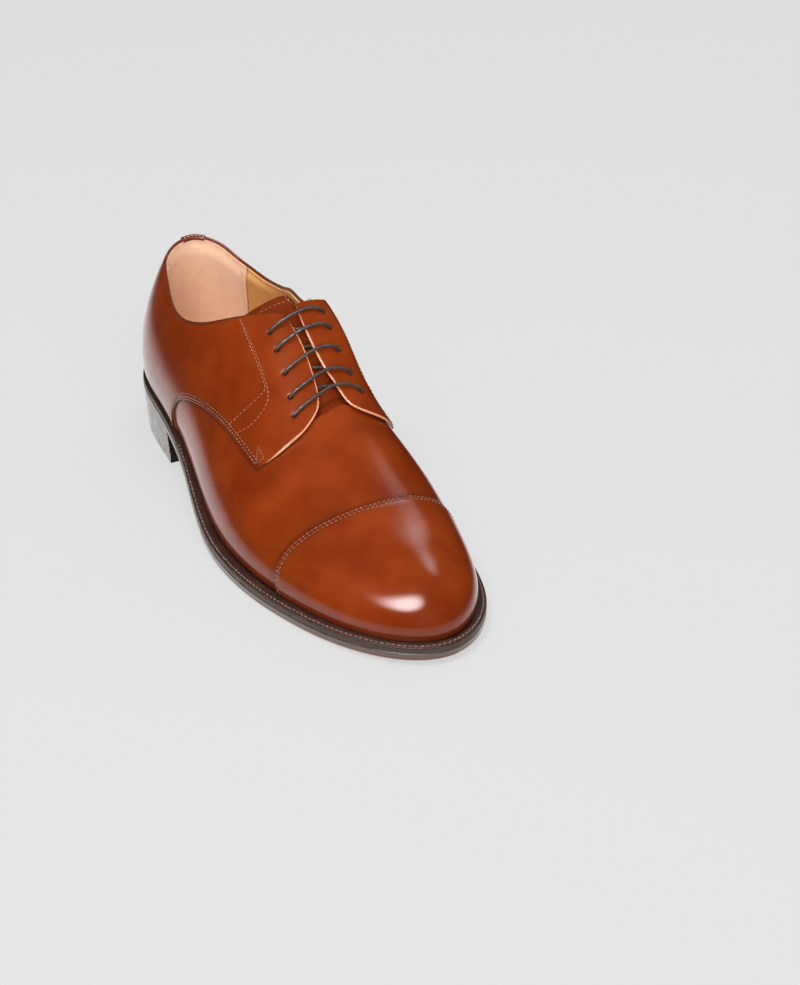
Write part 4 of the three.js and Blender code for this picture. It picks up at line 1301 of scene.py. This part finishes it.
def make_quarter_linings():
    for side in SIDES:
        sign = SIGN[side]
        rear = VAMP_REAR_HALF if side == "outer" else mirrored(VAMP_REAR_HALF)
        seam = shifted(rear[:8], -0.05)
        start = (HEEL_LINING_END + 0.02, sign)
        bottom = joined(straight(start, seam[0]), line(seam), 0.33)
        rim = [(start[0], crossing_at(TOPLINE[side], start[0]))]
        rim += [point for point in TOPLINE[side] if point[0] > start[0] + 0.2]
        top = joined(line(rim), line(FLAP_EDGE[side]), 0.7)
        front = straight(bottom(np.ones(())), top(np.ones(())))
        place = patch(bottom, top, straight(start, rim[0]), front)
        over = quarter_lining_over(side)
        under = lambda places, edges: over(places, edges) - LINING_THICK
        piece = panel(f"quarter_lining_{side}_leather", place, over, under, (150, 60),
                      [SIDE_LINING, SIDE_LINING, TAN_EDGE], ("top",), 1.6, 0.2, slot="side_lining",
                      replaces=[f"quarter_lining_{side}"])
        cut_holes(piece, side)


def heel_place(end, bottom=1.0, stop=0.0):
    """A place on the heel: from the inner end station round to the outer, feather line to rim."""
    def at(a, b):
        along = -end + 2 * end * a
        side = np.where(along < 0, 1, -1)
        station = np.abs(along)
        rim = np.where(along < 0, crossing_at(TOPLINE["inner"], station),
                       crossing_at(TOPLINE["outer"], station))
        crossing = side * bottom + (rim + side * stop - side * bottom) * b
        return np.stack([station, crossing], -1)
    return at


def make_heel_lining():
    over = lambda places, edges: lining_rise(edges, ["top"], -1.8, 0.06, 9.0)
    under = lambda places, edges: over(places, edges) - LINING_THICK
    panel("heel_lining_suede", heel_place(HEEL_LINING_END), over, under,
          (190, 60), [HEEL_SUEDE, HEEL_SUEDE, TAN_EDGE], ("top",), 2.0, 0.2, slot="sock_leather",
          replaces=["heel_lining"])


# ---- tongue ----
def tongue_line(station, half, bow):
    def at(shares):
        shares = np.asarray(shares)
        across = -half + 2 * half * shares
        return np.stack([station + bow * (2 * shares - 1) ** 2, across], -1)
    return at


TONGUE_RISE = 2.55
TONGUE_THICK = 1.2
TONGUE_LINING_THICK = 0.8
TONGUE_GAP = 0.04              # between the tongue and its lining
TONGUE_SIZE = (85, 55)


def tongue_over(places, edges):
    """The tongue lies low under the lace and rises to the vamp at its front edge."""
    return TONGUE_TOP + TONGUE_RISE * smooth(4.64, 4.83, places[..., 0])


def make_tongue():
    place = between(tongue_line(TONGUE_REAR, TONGUE_HALF_REAR, TONGUE_BOW),
                    tongue_line(TONGUE_FRONT, TONGUE_HALF_FRONT, 0))
    free_edges = ("back", "bottom", "top")
    piece = panel("tongue_leather", place, tongue_over,
                  lambda places, edges: tongue_over(places, edges) - TONGUE_THICK, TONGUE_SIZE,
                  [LEATHER, LEATHER_BACK, CUT_EDGE], free_edges, 1.4, 0.5,
                  tone=lambda places, edges: 0.25 + 0.3 * np.exp(-edges["back"] / 3), body=None,
                  slot="upper_leather", replaces=["tongue"])
    below = lambda places, edges: tongue_over(places, edges) - (TONGUE_THICK + TONGUE_GAP)
    lining = panel("tongue_lining_leather", place, below,
                   lambda places, edges: below(places, edges) - TONGUE_LINING_THICK, TONGUE_SIZE,
                   [SIDE_LINING, SIDE_LINING, TAN_EDGE], free_edges, 2.0, 0.2, body=None,
                   slot="side_lining", replaces=["tongue_lining"])
    return [piece, lining]


def hinge_tongue(pieces):
    """Bakes each tongue piece's placing into its mesh."""
    for piece in pieces:
        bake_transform(piece)


def tongue_stitches():
    """A row along the tongue's top edge, on both sides of the ridge."""
    edge = tongue_line(TONGUE_REAR, TONGUE_HALF_REAR, TONGUE_BOW)
    halves = (edge(np.linspace(0.03, 0.49, 120)), edge(np.linspace(0.51, 0.97, 120)))
    rows = [row_along(inset(half, -4.0), TONGUE_TOP) for half in halves]
    return stitch_row("tongue_stitches", rows, THREAD_SOFT, 2.4, 2.0, 0.27, 0.2, body=None)


# ---- topline ----
def rim_line(end, samples=400):
    """The topline from the inner front round the heel to the outer front."""
    along = np.linspace(-end, end, samples)
    crossing = np.where(along < 0, crossing_at(TOPLINE["inner"], np.abs(along)),
                        crossing_at(TOPLINE["outer"], np.abs(along)))
    return np.stack([np.abs(along), crossing], -1)


def rim_frame(places, offset):
    points, normals = surface_frame(places, offset)
    ahead = np.gradient(points, axis=0)
    upward = np.cross(normals, ahead)
    return points, normals, unit(upward)


def make_binding():
    places = rim_line(3.5)
    lift = np.where(places[..., 1] < 0, flap_lift("outer", places), flap_lift("inner", places))
    middle = 0.85 + 1.4 * flap_raise(places) + lift
    points, normals, upward = rim_frame(places, middle)
    taper = smooth(0, 40, from_ends(len(points)))
    points, normals = resampled(points + upward * (0.6 * taper)[:, None], upward, 0.9)
    swell = even_swell(0.3 + 0.7 * smooth(0, 22, from_ends(len(points))))
    sweep("topline_roll", points, normals, oval(0.64, 0.82, 14), [ROLLED_EDGE], slot="upper_leather",
          replaces=["topline_binding"], ripple=swell)


def fold_tab_over(half):
    """The tab's upper part, turned over the rolled edge to the inside."""
    along = np.linspace(-half, half, 90)
    places = np.stack([np.abs(along),
                       np.where(along < 0, -TOPLINE["outer"][0][1], TOPLINE["outer"][0][1])], -1)
    points, _, upward = rim_frame(places, 0.75)
    points = points + upward * 0.5
    sweep("heel_tab_fold", points, upward, oval(1.75, 1.35, 14), [ROLLED_EDGE], slot="upper_leather")
    stitches = [(points + upward * 1.3, upward)]
    stitch_row("heel_tab_fold_stitches", stitches, THREAD_TAN, 2.0, 1.4, 0.22, 0.1)


TAB_OVER = QUARTER_OVER + 0.85


def make_heel_tab():
    half, tall = 0.3, 0.12

    def place(a, b):
        where = heel_place(half, stop=0.004)(a, np.ones_like(a))
        narrow = 1 - 0.45 * (1 - b) ** 1.5
        crossing = where[..., 1] + np.sign(where[..., 1]) * tall * (1 - b)
        return np.stack([where[..., 0] * narrow, crossing], -1)
    panel("heel_tab_leather", place, always(TAB_OVER), always(QUARTER_OVER + 0.03), (30, 12),
          [LEATHER, LEATHER_BACK, CUT_EDGE],
          step=0.8, radius=0.4, tone=always(0.45), slot="upper_leather",
          replaces=["heel_tab"])
    fold_tab_over(half)
    shares = np.linspace(0, 1, 60)
    down = [place(np.full(40, 0.06), np.linspace(0.95, 0.12, 40)),
            place(shares * 0.88 + 0.06, np.full(60, 0.12)),
            place(np.full(40, 0.94), np.linspace(0.12, 0.95, 40))]
    rows = [row_along(places, TAB_OVER) for places in down]
    top = place(shares * 0.88 + 0.06, np.full(60, 0.86))
    stitch_row("heel_tab_stitches", rows + [row_along(top, TAB_OVER)], THREAD_SOFT, 1.9, 1.5, 0.2, 0.1)


# ---- stitching on the upper ----
def seam_stitches():
    rows = []
    for side in SIDES:
        low = SIGN[side] * 0.99
        edge = line([(QUARTER_SEAM[side][0][0], low), *QUARTER_SEAM[side][1:]])(np.linspace(0, 1, 300))
        turn = -SIGN[side]
        for distance in SEAM_ROWS:
            near = 0.5 * (1 - smooth(0, 4.0, distance))
            surface = quarter_surface(side)
            height = lambda spots, near=near: surface(spots) - near - 0.1
            rows.append(row_along(inset(edge, turn * distance)[:-6], height))
    stitch_row("quarter_seam_stitches", rows, THREAD_BROWN, 2.4, 1.9, 0.3)


TACK = {
    "outer": [(4.705, -0.487), (4.58, -0.445), (4.745, -0.443), (4.705, -0.487)],
    "inner": [(4.585, 0.484), (4.46, 0.445), (4.63, 0.44), (4.585, 0.484)],
}


def tack_stitches():
    """A small sewn triangle that holds each flap where it leaves the vamp."""
    rows = []
    for side in SIDES:
        for start, end in zip(TACK[side], TACK[side][1:]):
            rows.append(row_along(straight(start, end)(np.linspace(0, 1, 40)), quarter_surface(side)))
    stitch_row("tack_stitches", rows, THREAD_BROWN, 1.5, 1.2, 0.27, 0.1)


def facing_stitches():
    rows = []
    for side in SIDES:
        for points in FACING_ROWS:
            places = [(station, SIGN[side] * (1 - height)) for station, height in points]
            rows.append(row_along(line(places)(np.linspace(0, 1, 260)), quarter_surface(side)))
    stitch_row("facing_stitches", rows, THREAD_SOFT, 2.4, 1.9, 0.27)


def cap_stitches():
    edge = cap_line()(np.linspace(0.004, 0.996, 500))
    rows = [row_along(inset(edge, -distance), CAP_OVER - 0.1 - 0.3 * (1 - float(smooth(0, 4, distance))))
            for distance in CAP_ROWS]
    stitch_row("toe_cap_stitches", rows, THREAD_BROWN, 2.4, 1.9, 0.26)


def lining_stitches():
    """The two rows beside the seam between heel lining and quarter linings."""
    rows = []
    for side in SIDES:
        for station in (HEEL_LINING_END - 0.06, HEEL_LINING_END + 0.09):
            rim = float(crossing_at(TOPLINE[side], station))
            places = straight((station, rim * 1.02), (station, SIGN[side] * 0.95))(np.linspace(0, 1, 120))
            depth = -2.58 if station < HEEL_LINING_END else -0.55
            points, normals = row_along(places, depth)
            rows.append((points, -normals))
    stitch_row("lining_stitches", rows, THREAD_TAN, 2.5, 2.0, 0.24)


# ---- lace ----
def centripetal(points, samples=16):
    """A centripetal Catmull-Rom curve through points."""
    first, last = 2 * points[0] - points[1], 2 * points[-1] - points[-2]
    padded = np.concatenate([[first], points, [last]])
    f = np.linspace(0, 1, samples, endpoint=False)[:, None]
    pieces = []
    for p0, p1, p2, p3 in zip(padded, padded[1:], padded[2:], padded[3:]):
        d0, d1, d2 = (np.sqrt(np.linalg.norm(q - p)) for p, q in ((p0, p1), (p1, p2), (p2, p3)))
        v1 = ((p1 - p0) / d0 - (p2 - p0) / (d0 + d1) + (p2 - p1) / d1) * d1
        v2 = ((p2 - p1) / d1 - (p3 - p1) / (d1 + d2) + (p3 - p2) / d2) * d1
        pieces.append(hermite(p1, p2, v1, v2, f))
    return np.concatenate(pieces + [points[-1:]])


def lace_tail(side):
    sign = SIGN[side]
    near = abs(EYELET_ROW[side][1][1]) + 0.07
    far = near + 0.085
    run = [(4.14, far), (4.05, far), (3.96, far), (3.86, far - 0.01), (3.8, (near + far) / 2),
           (3.86, near + 0.01), (3.98, near), (4.2, near + 0.005), (4.42, near)]
    return [(station, sign * crossing, LACE_UNDER) for station, crossing in run]


def lace_span(start, end, steps, lifts=(0.0, 0.0)):
    """Places and offsets from one eyelet to another; above the flaps they rise with them."""
    span = []
    for share, offset in steps:
        lift = (lifts[0] + (lifts[1] - lifts[0]) * share) * float(smooth(LACE_UNDER, 0.6, offset))
        span.append((*(start + (end - start) * share), offset + lift))
    return span


BAR_STEPS = [
    (0, LACE_UNDER + 0.6), (0, 0.6), (0, 3.3), (0.1, LACE_OVER), (0.3, LACE_OVER + 0.2),
    (0.5, LACE_OVER + 0.3),
    (0.7, LACE_OVER + 0.2), (0.9, LACE_OVER), (1, 3.3), (1, 0.6), (1, LACE_UNDER + 0.6),
]
DIAGONAL_STEPS = [(share, LACE_UNDER) for share in (0.12, 0.36, 0.64, 0.88)]


def lace_route():
    route = lace_tail("outer")
    for row in range(EYELETS - 1, -1, -1):
        lifts = [float(flap_lift(side, EYELET_AT[side][row])) for side in SIDES]
        route += lace_span(EYELET_AT["outer"][row], EYELET_AT["inner"][row], BAR_STEPS, lifts)
        if row > 0:
            route += lace_span(EYELET_AT["inner"][row], EYELET_AT["outer"][row - 1], DIAGONAL_STEPS)
    route += lace_tail("inner")[::-1]
    values = np.array(route)
    return lifted(values[:, :2], values[:, 2])


def turning_normals(points):
    """A sideways direction that turns as little as it can along a line."""
    ahead = np.gradient(points, axis=0)
    ahead = unit(ahead)
    normal = np.cross(ahead[0], [0.0, 0.0, 1.0])
    normals = []
    for direction in ahead:
        normal = normal - direction * normal.dot(direction)
        normal /= np.linalg.norm(normal)
        normals.append(normal)
    return np.array(normals)


LACE_SIDES = 24
BRAID_STRANDS = 6
BRAID_PITCH = 4.2
BRAID_RELIEF = 0.12            # share of the cord's radius


def braid(spacing):
    """Crossing strands that stand out of the cord's surface."""
    def ripple(steps, sides):
        length = np.arange(steps)[:, None] * spacing
        angle = 2 * math.pi * np.arange(sides)[None] / sides
        turn = 2 * math.pi * length / BRAID_PITCH
        strands = np.maximum(np.sin(BRAID_STRANDS * angle + turn), np.sin(BRAID_STRANDS * angle - turn))
        return 1 - BRAID_RELIEF + BRAID_RELIEF * strands
    return ripple


def make_lace():
    spacing = 0.22
    route = lace_route()
    dense = centripetal(route)
    points, _ = resampled(dense, dense, spacing)
    sweep("lace_braid", points, turning_normals(points), oval(LACE_RADIUS, LACE_RADIUS, LACE_SIDES),
          [LACE],
          slot="lace_cord", replaces=["lace"], ripple=braid(spacing))
    for side, end, before in (("outer", route[0], route[1]), ("inner", route[-1], route[-2])):
        make_aglet(side, end, (end - before) / np.linalg.norm(end - before))


def make_eyelets():
    """Hidden rings under the flaps: a barrel with a turned-out flange."""
    profile = [(1.1, 2.0), (1.1, 2.25), (-0.55, 2.25), (-0.65, 2.9), (-0.9, 2.9), (-0.95, 2.1),
               (-0.8, 2.0)]
    angles = 2 * math.pi * np.arange(24) / 24
    for side in SIDES:
        for row, place in enumerate(EYELET_AT[side], 1):
            middle, normal = lifted(place), normal_at(place)
            lift = float(flap_lift(side, place))
            across = np.cross(normal, [0.0, 0.0, 1.0])
            across /= np.linalg.norm(across)
            upward = np.cross(normal, across)
            round_it = np.cos(angles)[:, None] * across + np.sin(angles)[:, None] * upward
            rings = np.stack([
                middle + normal * (height + lift) + round_it * radius for height, radius in profile
            ], 1)
            ids = np.arange(rings.shape[0] * rings.shape[1]).reshape(rings.shape[:2])
            turned, higher = np.roll(ids, -1, 0), np.roll(ids, -1, 1)
            faces = np.stack([ids, turned, np.roll(turned, -1, 1), higher], -1).reshape(-1, 4)
            mesh = mesh_of(f"eyelet_ring_{side}_{row}", rings.reshape(-1, 3), faces.tolist(),
                           [EYELET_METAL])
            new_object(f"eyelet_ring_{side}_{row}", mesh, slot="eyelet_brass",
                       replaces=[f"eyelet_{side}_{row}"])


STAY_EDGES = {
    "outer": [[(3.5, -0.33), (4.1, -0.31), (4.58, -0.29)],
              [(3.5, -0.2), (3.66, -0.12), (4.1, -0.1), (4.6, -0.14)]],
    "inner": [[(3.5, 0.29), (4.1, 0.28), (4.53, 0.26)],
              [(3.48, 0.09), (3.64, 0), (4.1, -0.01), (4.6, 0.04)]],
}


def make_stays():
    for side in SIDES:
        lower, upper = (line(points) for points in STAY_EDGES[side])
        under = quarter_under(side)
        piece = panel(f"facing_stay_{side}_board", between(lower, upper),
                      lambda places, edges: under(places, edges) - 0.8,
                      lambda places, edges: under(places, edges) - 1.05, (14, 52), [BOARD], (), 2.0,
                      slot="stiffener", replaces=[f"facing_stay_{side}"])
        cut_holes(piece, side, 2.4)


def make_aglet(side, end, along):
    """A rolled film tip with a crimp at its start and a rounded end."""
    profile = [(0.3, 0.75), (0.4, 1.0), (0.9, 1.05), (1.2, 0.98), (1.5, 1.05), (11.5, 1.0), (12.8, 0.85),
               (13.3, 0.4)]
    points = end + along * np.array([[distance] for distance, _ in profile])
    radii = np.array([radius for _, radius in profile])
    swell = even_swell(radii)
    sweep(f"lace_tip_{side}", points, turning_normals(points), oval(1, 1, 16), [AGLET], slot="aglet",
          replaces=[f"aglet_{side}"], ripple=swell)


# ---- the frame's own solids that stay, hidden inside ----
def paint_frame_nodes():
    looks = {
        "insole": NATURAL, "insole_rib": NATURAL, "cork_filler": CORK, "shank": STEEL,
        "toe_puff": BOARD, "heel_counter": BOARD, "heel_nail": BRASS,
    }
    for name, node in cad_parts.items():
        for start, look in looks.items():
            if name.startswith(start):
                node.data.materials.clear()
                node.data.materials.append(look)


# ---- floor and light ----
FLOOR_SIZE = 60                # metres, so that its edge is out of sight
FLOOR_GLOW = 0.55
WORLD_GLOW = 0.36
KEY_DIRECTION = (0.163, -0.388, 0.907)


def add_floor():
    """A pale sheet that glows a little, so that it stays even, and still takes a soft shadow."""
    bpy.ops.mesh.primitive_plane_add(size=FLOOR_SIZE, location=(0, 0, -0.0004))
    floor = bpy.context.object
    floor.name = "floor"
    look = material("floor", (0.17, 0.17, 0.17), 1.0)
    shader = look.node_tree.nodes["Principled BSDF"]
    shader.inputs["Emission Color"].default_value = (1, 1, 1, 1)
    shader.inputs["Emission Strength"].default_value = FLOOR_GLOW
    shader.inputs["Specular IOR Level"].default_value = 0
    floor.data.materials.append(look)
    floor.visible_glossy = False


def add_light(name, direction, distance, size, radiance, shape="DISK"):
    """A soft light at a direction from the shoe, facing it, that doesn't show in the polish."""
    area = size * size * (math.pi / 4 if shape == "DISK" else 1)
    data = bpy.data.lights.new(name, "AREA")
    data.shape = shape
    data.size = size
    data.energy = radiance * area * math.pi
    light = bpy.data.objects.new(name, data)
    bpy.context.scene.collection.objects.link(light)
    unit = Vector(direction).normalized()
    light.location = towards(direction, distance)
    light.rotation_euler = unit.to_track_quat("Z", "Y").to_euler()
    light.visible_glossy = False


def add_glow(name, centre, normal, reach, strength, stretch=1.0):
    """A glowing disc that shows only in the polish. It fades out between two radii, in metres."""
    bpy.ops.mesh.primitive_circle_add(radius=reach[1], fill_type="NGON", vertices=64)
    disc = bpy.context.object
    disc.name = name
    disc.location = centre
    disc.rotation_euler = Vector(normal).to_track_quat("Z", "Y").to_euler()
    disc.scale = (stretch, 1, 1)
    look = material(name, (0, 0, 0), 1.0, Specular_IOR_Level=0, Emission_Color=(1, 1, 1, 1))
    nodes = Nodes(look)
    radius = nodes.tree.nodes.new("ShaderNodeVectorMath")
    radius.operation = "LENGTH"
    nodes.link(nodes.place, radius.inputs[0])
    fade = nodes.remap(radius.outputs["Value"], *reach, strength, 0)
    nodes.link(fade, nodes.shader.inputs["Emission Strength"])
    disc.data.materials.append(look)
    disc.visible_camera = False
    disc.visible_diffuse = False
    disc.visible_shadow = False


def towards(direction, distance):
    return Vector((0.05, 0, 0.04)) + Vector(direction).normalized() * distance


def add_glows():
    """What the polish mirrors: the floor near the shoe, a key light and a broad side light."""
    add_glow("floor_glint", (-0.07, 0, -0.0002), (0, 0, 1), (0.085, 0.14), 1.4, stretch=2.8)
    key = Vector(KEY_DIRECTION)
    add_glow("key_glint", Vector((0.137, -0.007, 0.028)) + key * 0.35, -key, (0.055, 0.13), 30)
    side = Vector((-0.42, 0.5, 0.76))
    add_glow("side_glint", towards(side, 2.0), -side, (0.1, 0.56), 4.3)


def add_lights():
    """The lights for everything but the polish."""
    add_light("key", KEY_DIRECTION, 1.6, 0.56, 18)
    add_light("side_softbox", (-0.44, 0.66, 0.6), 2.4, 1.7, 1.0)
    add_light("front_fill", (0.9, -0.25, 0.4), 2.6, 2.4, 3.4, "SQUARE")
    add_light("top_fill", (-0.1, 0.1, 1.0), 3.0, 2.2, 1.4, "SQUARE")
    world = bpy.data.worlds.new("studio")
    world.use_nodes = True
    backdrop = world.node_tree.nodes["Background"]
    backdrop.inputs["Color"].default_value = (1, 1, 1, 1)
    backdrop.inputs["Strength"].default_value = WORLD_GLOW
    world.cycles_visibility.glossy = False
    bpy.context.scene.world = world
    bpy.context.scene.view_settings.view_transform = "Standard"


make_sole()
make_heel()
make_welt()
welt_stitches()
make_vamp()
make_quarters()
make_flap_lips()
make_quarter_linings()
make_heel_lining()
tongue = make_tongue()
tongue.append(tongue_stitches())
hinge_tongue(tongue)
make_binding()
make_heel_tab()
seam_stitches()
facing_stitches()
tack_stitches()
cap_stitches()
lining_stitches()
make_lace()
make_eyelets()
make_stays()
paint_frame_nodes()
add_floor()
add_glows()
add_lights()
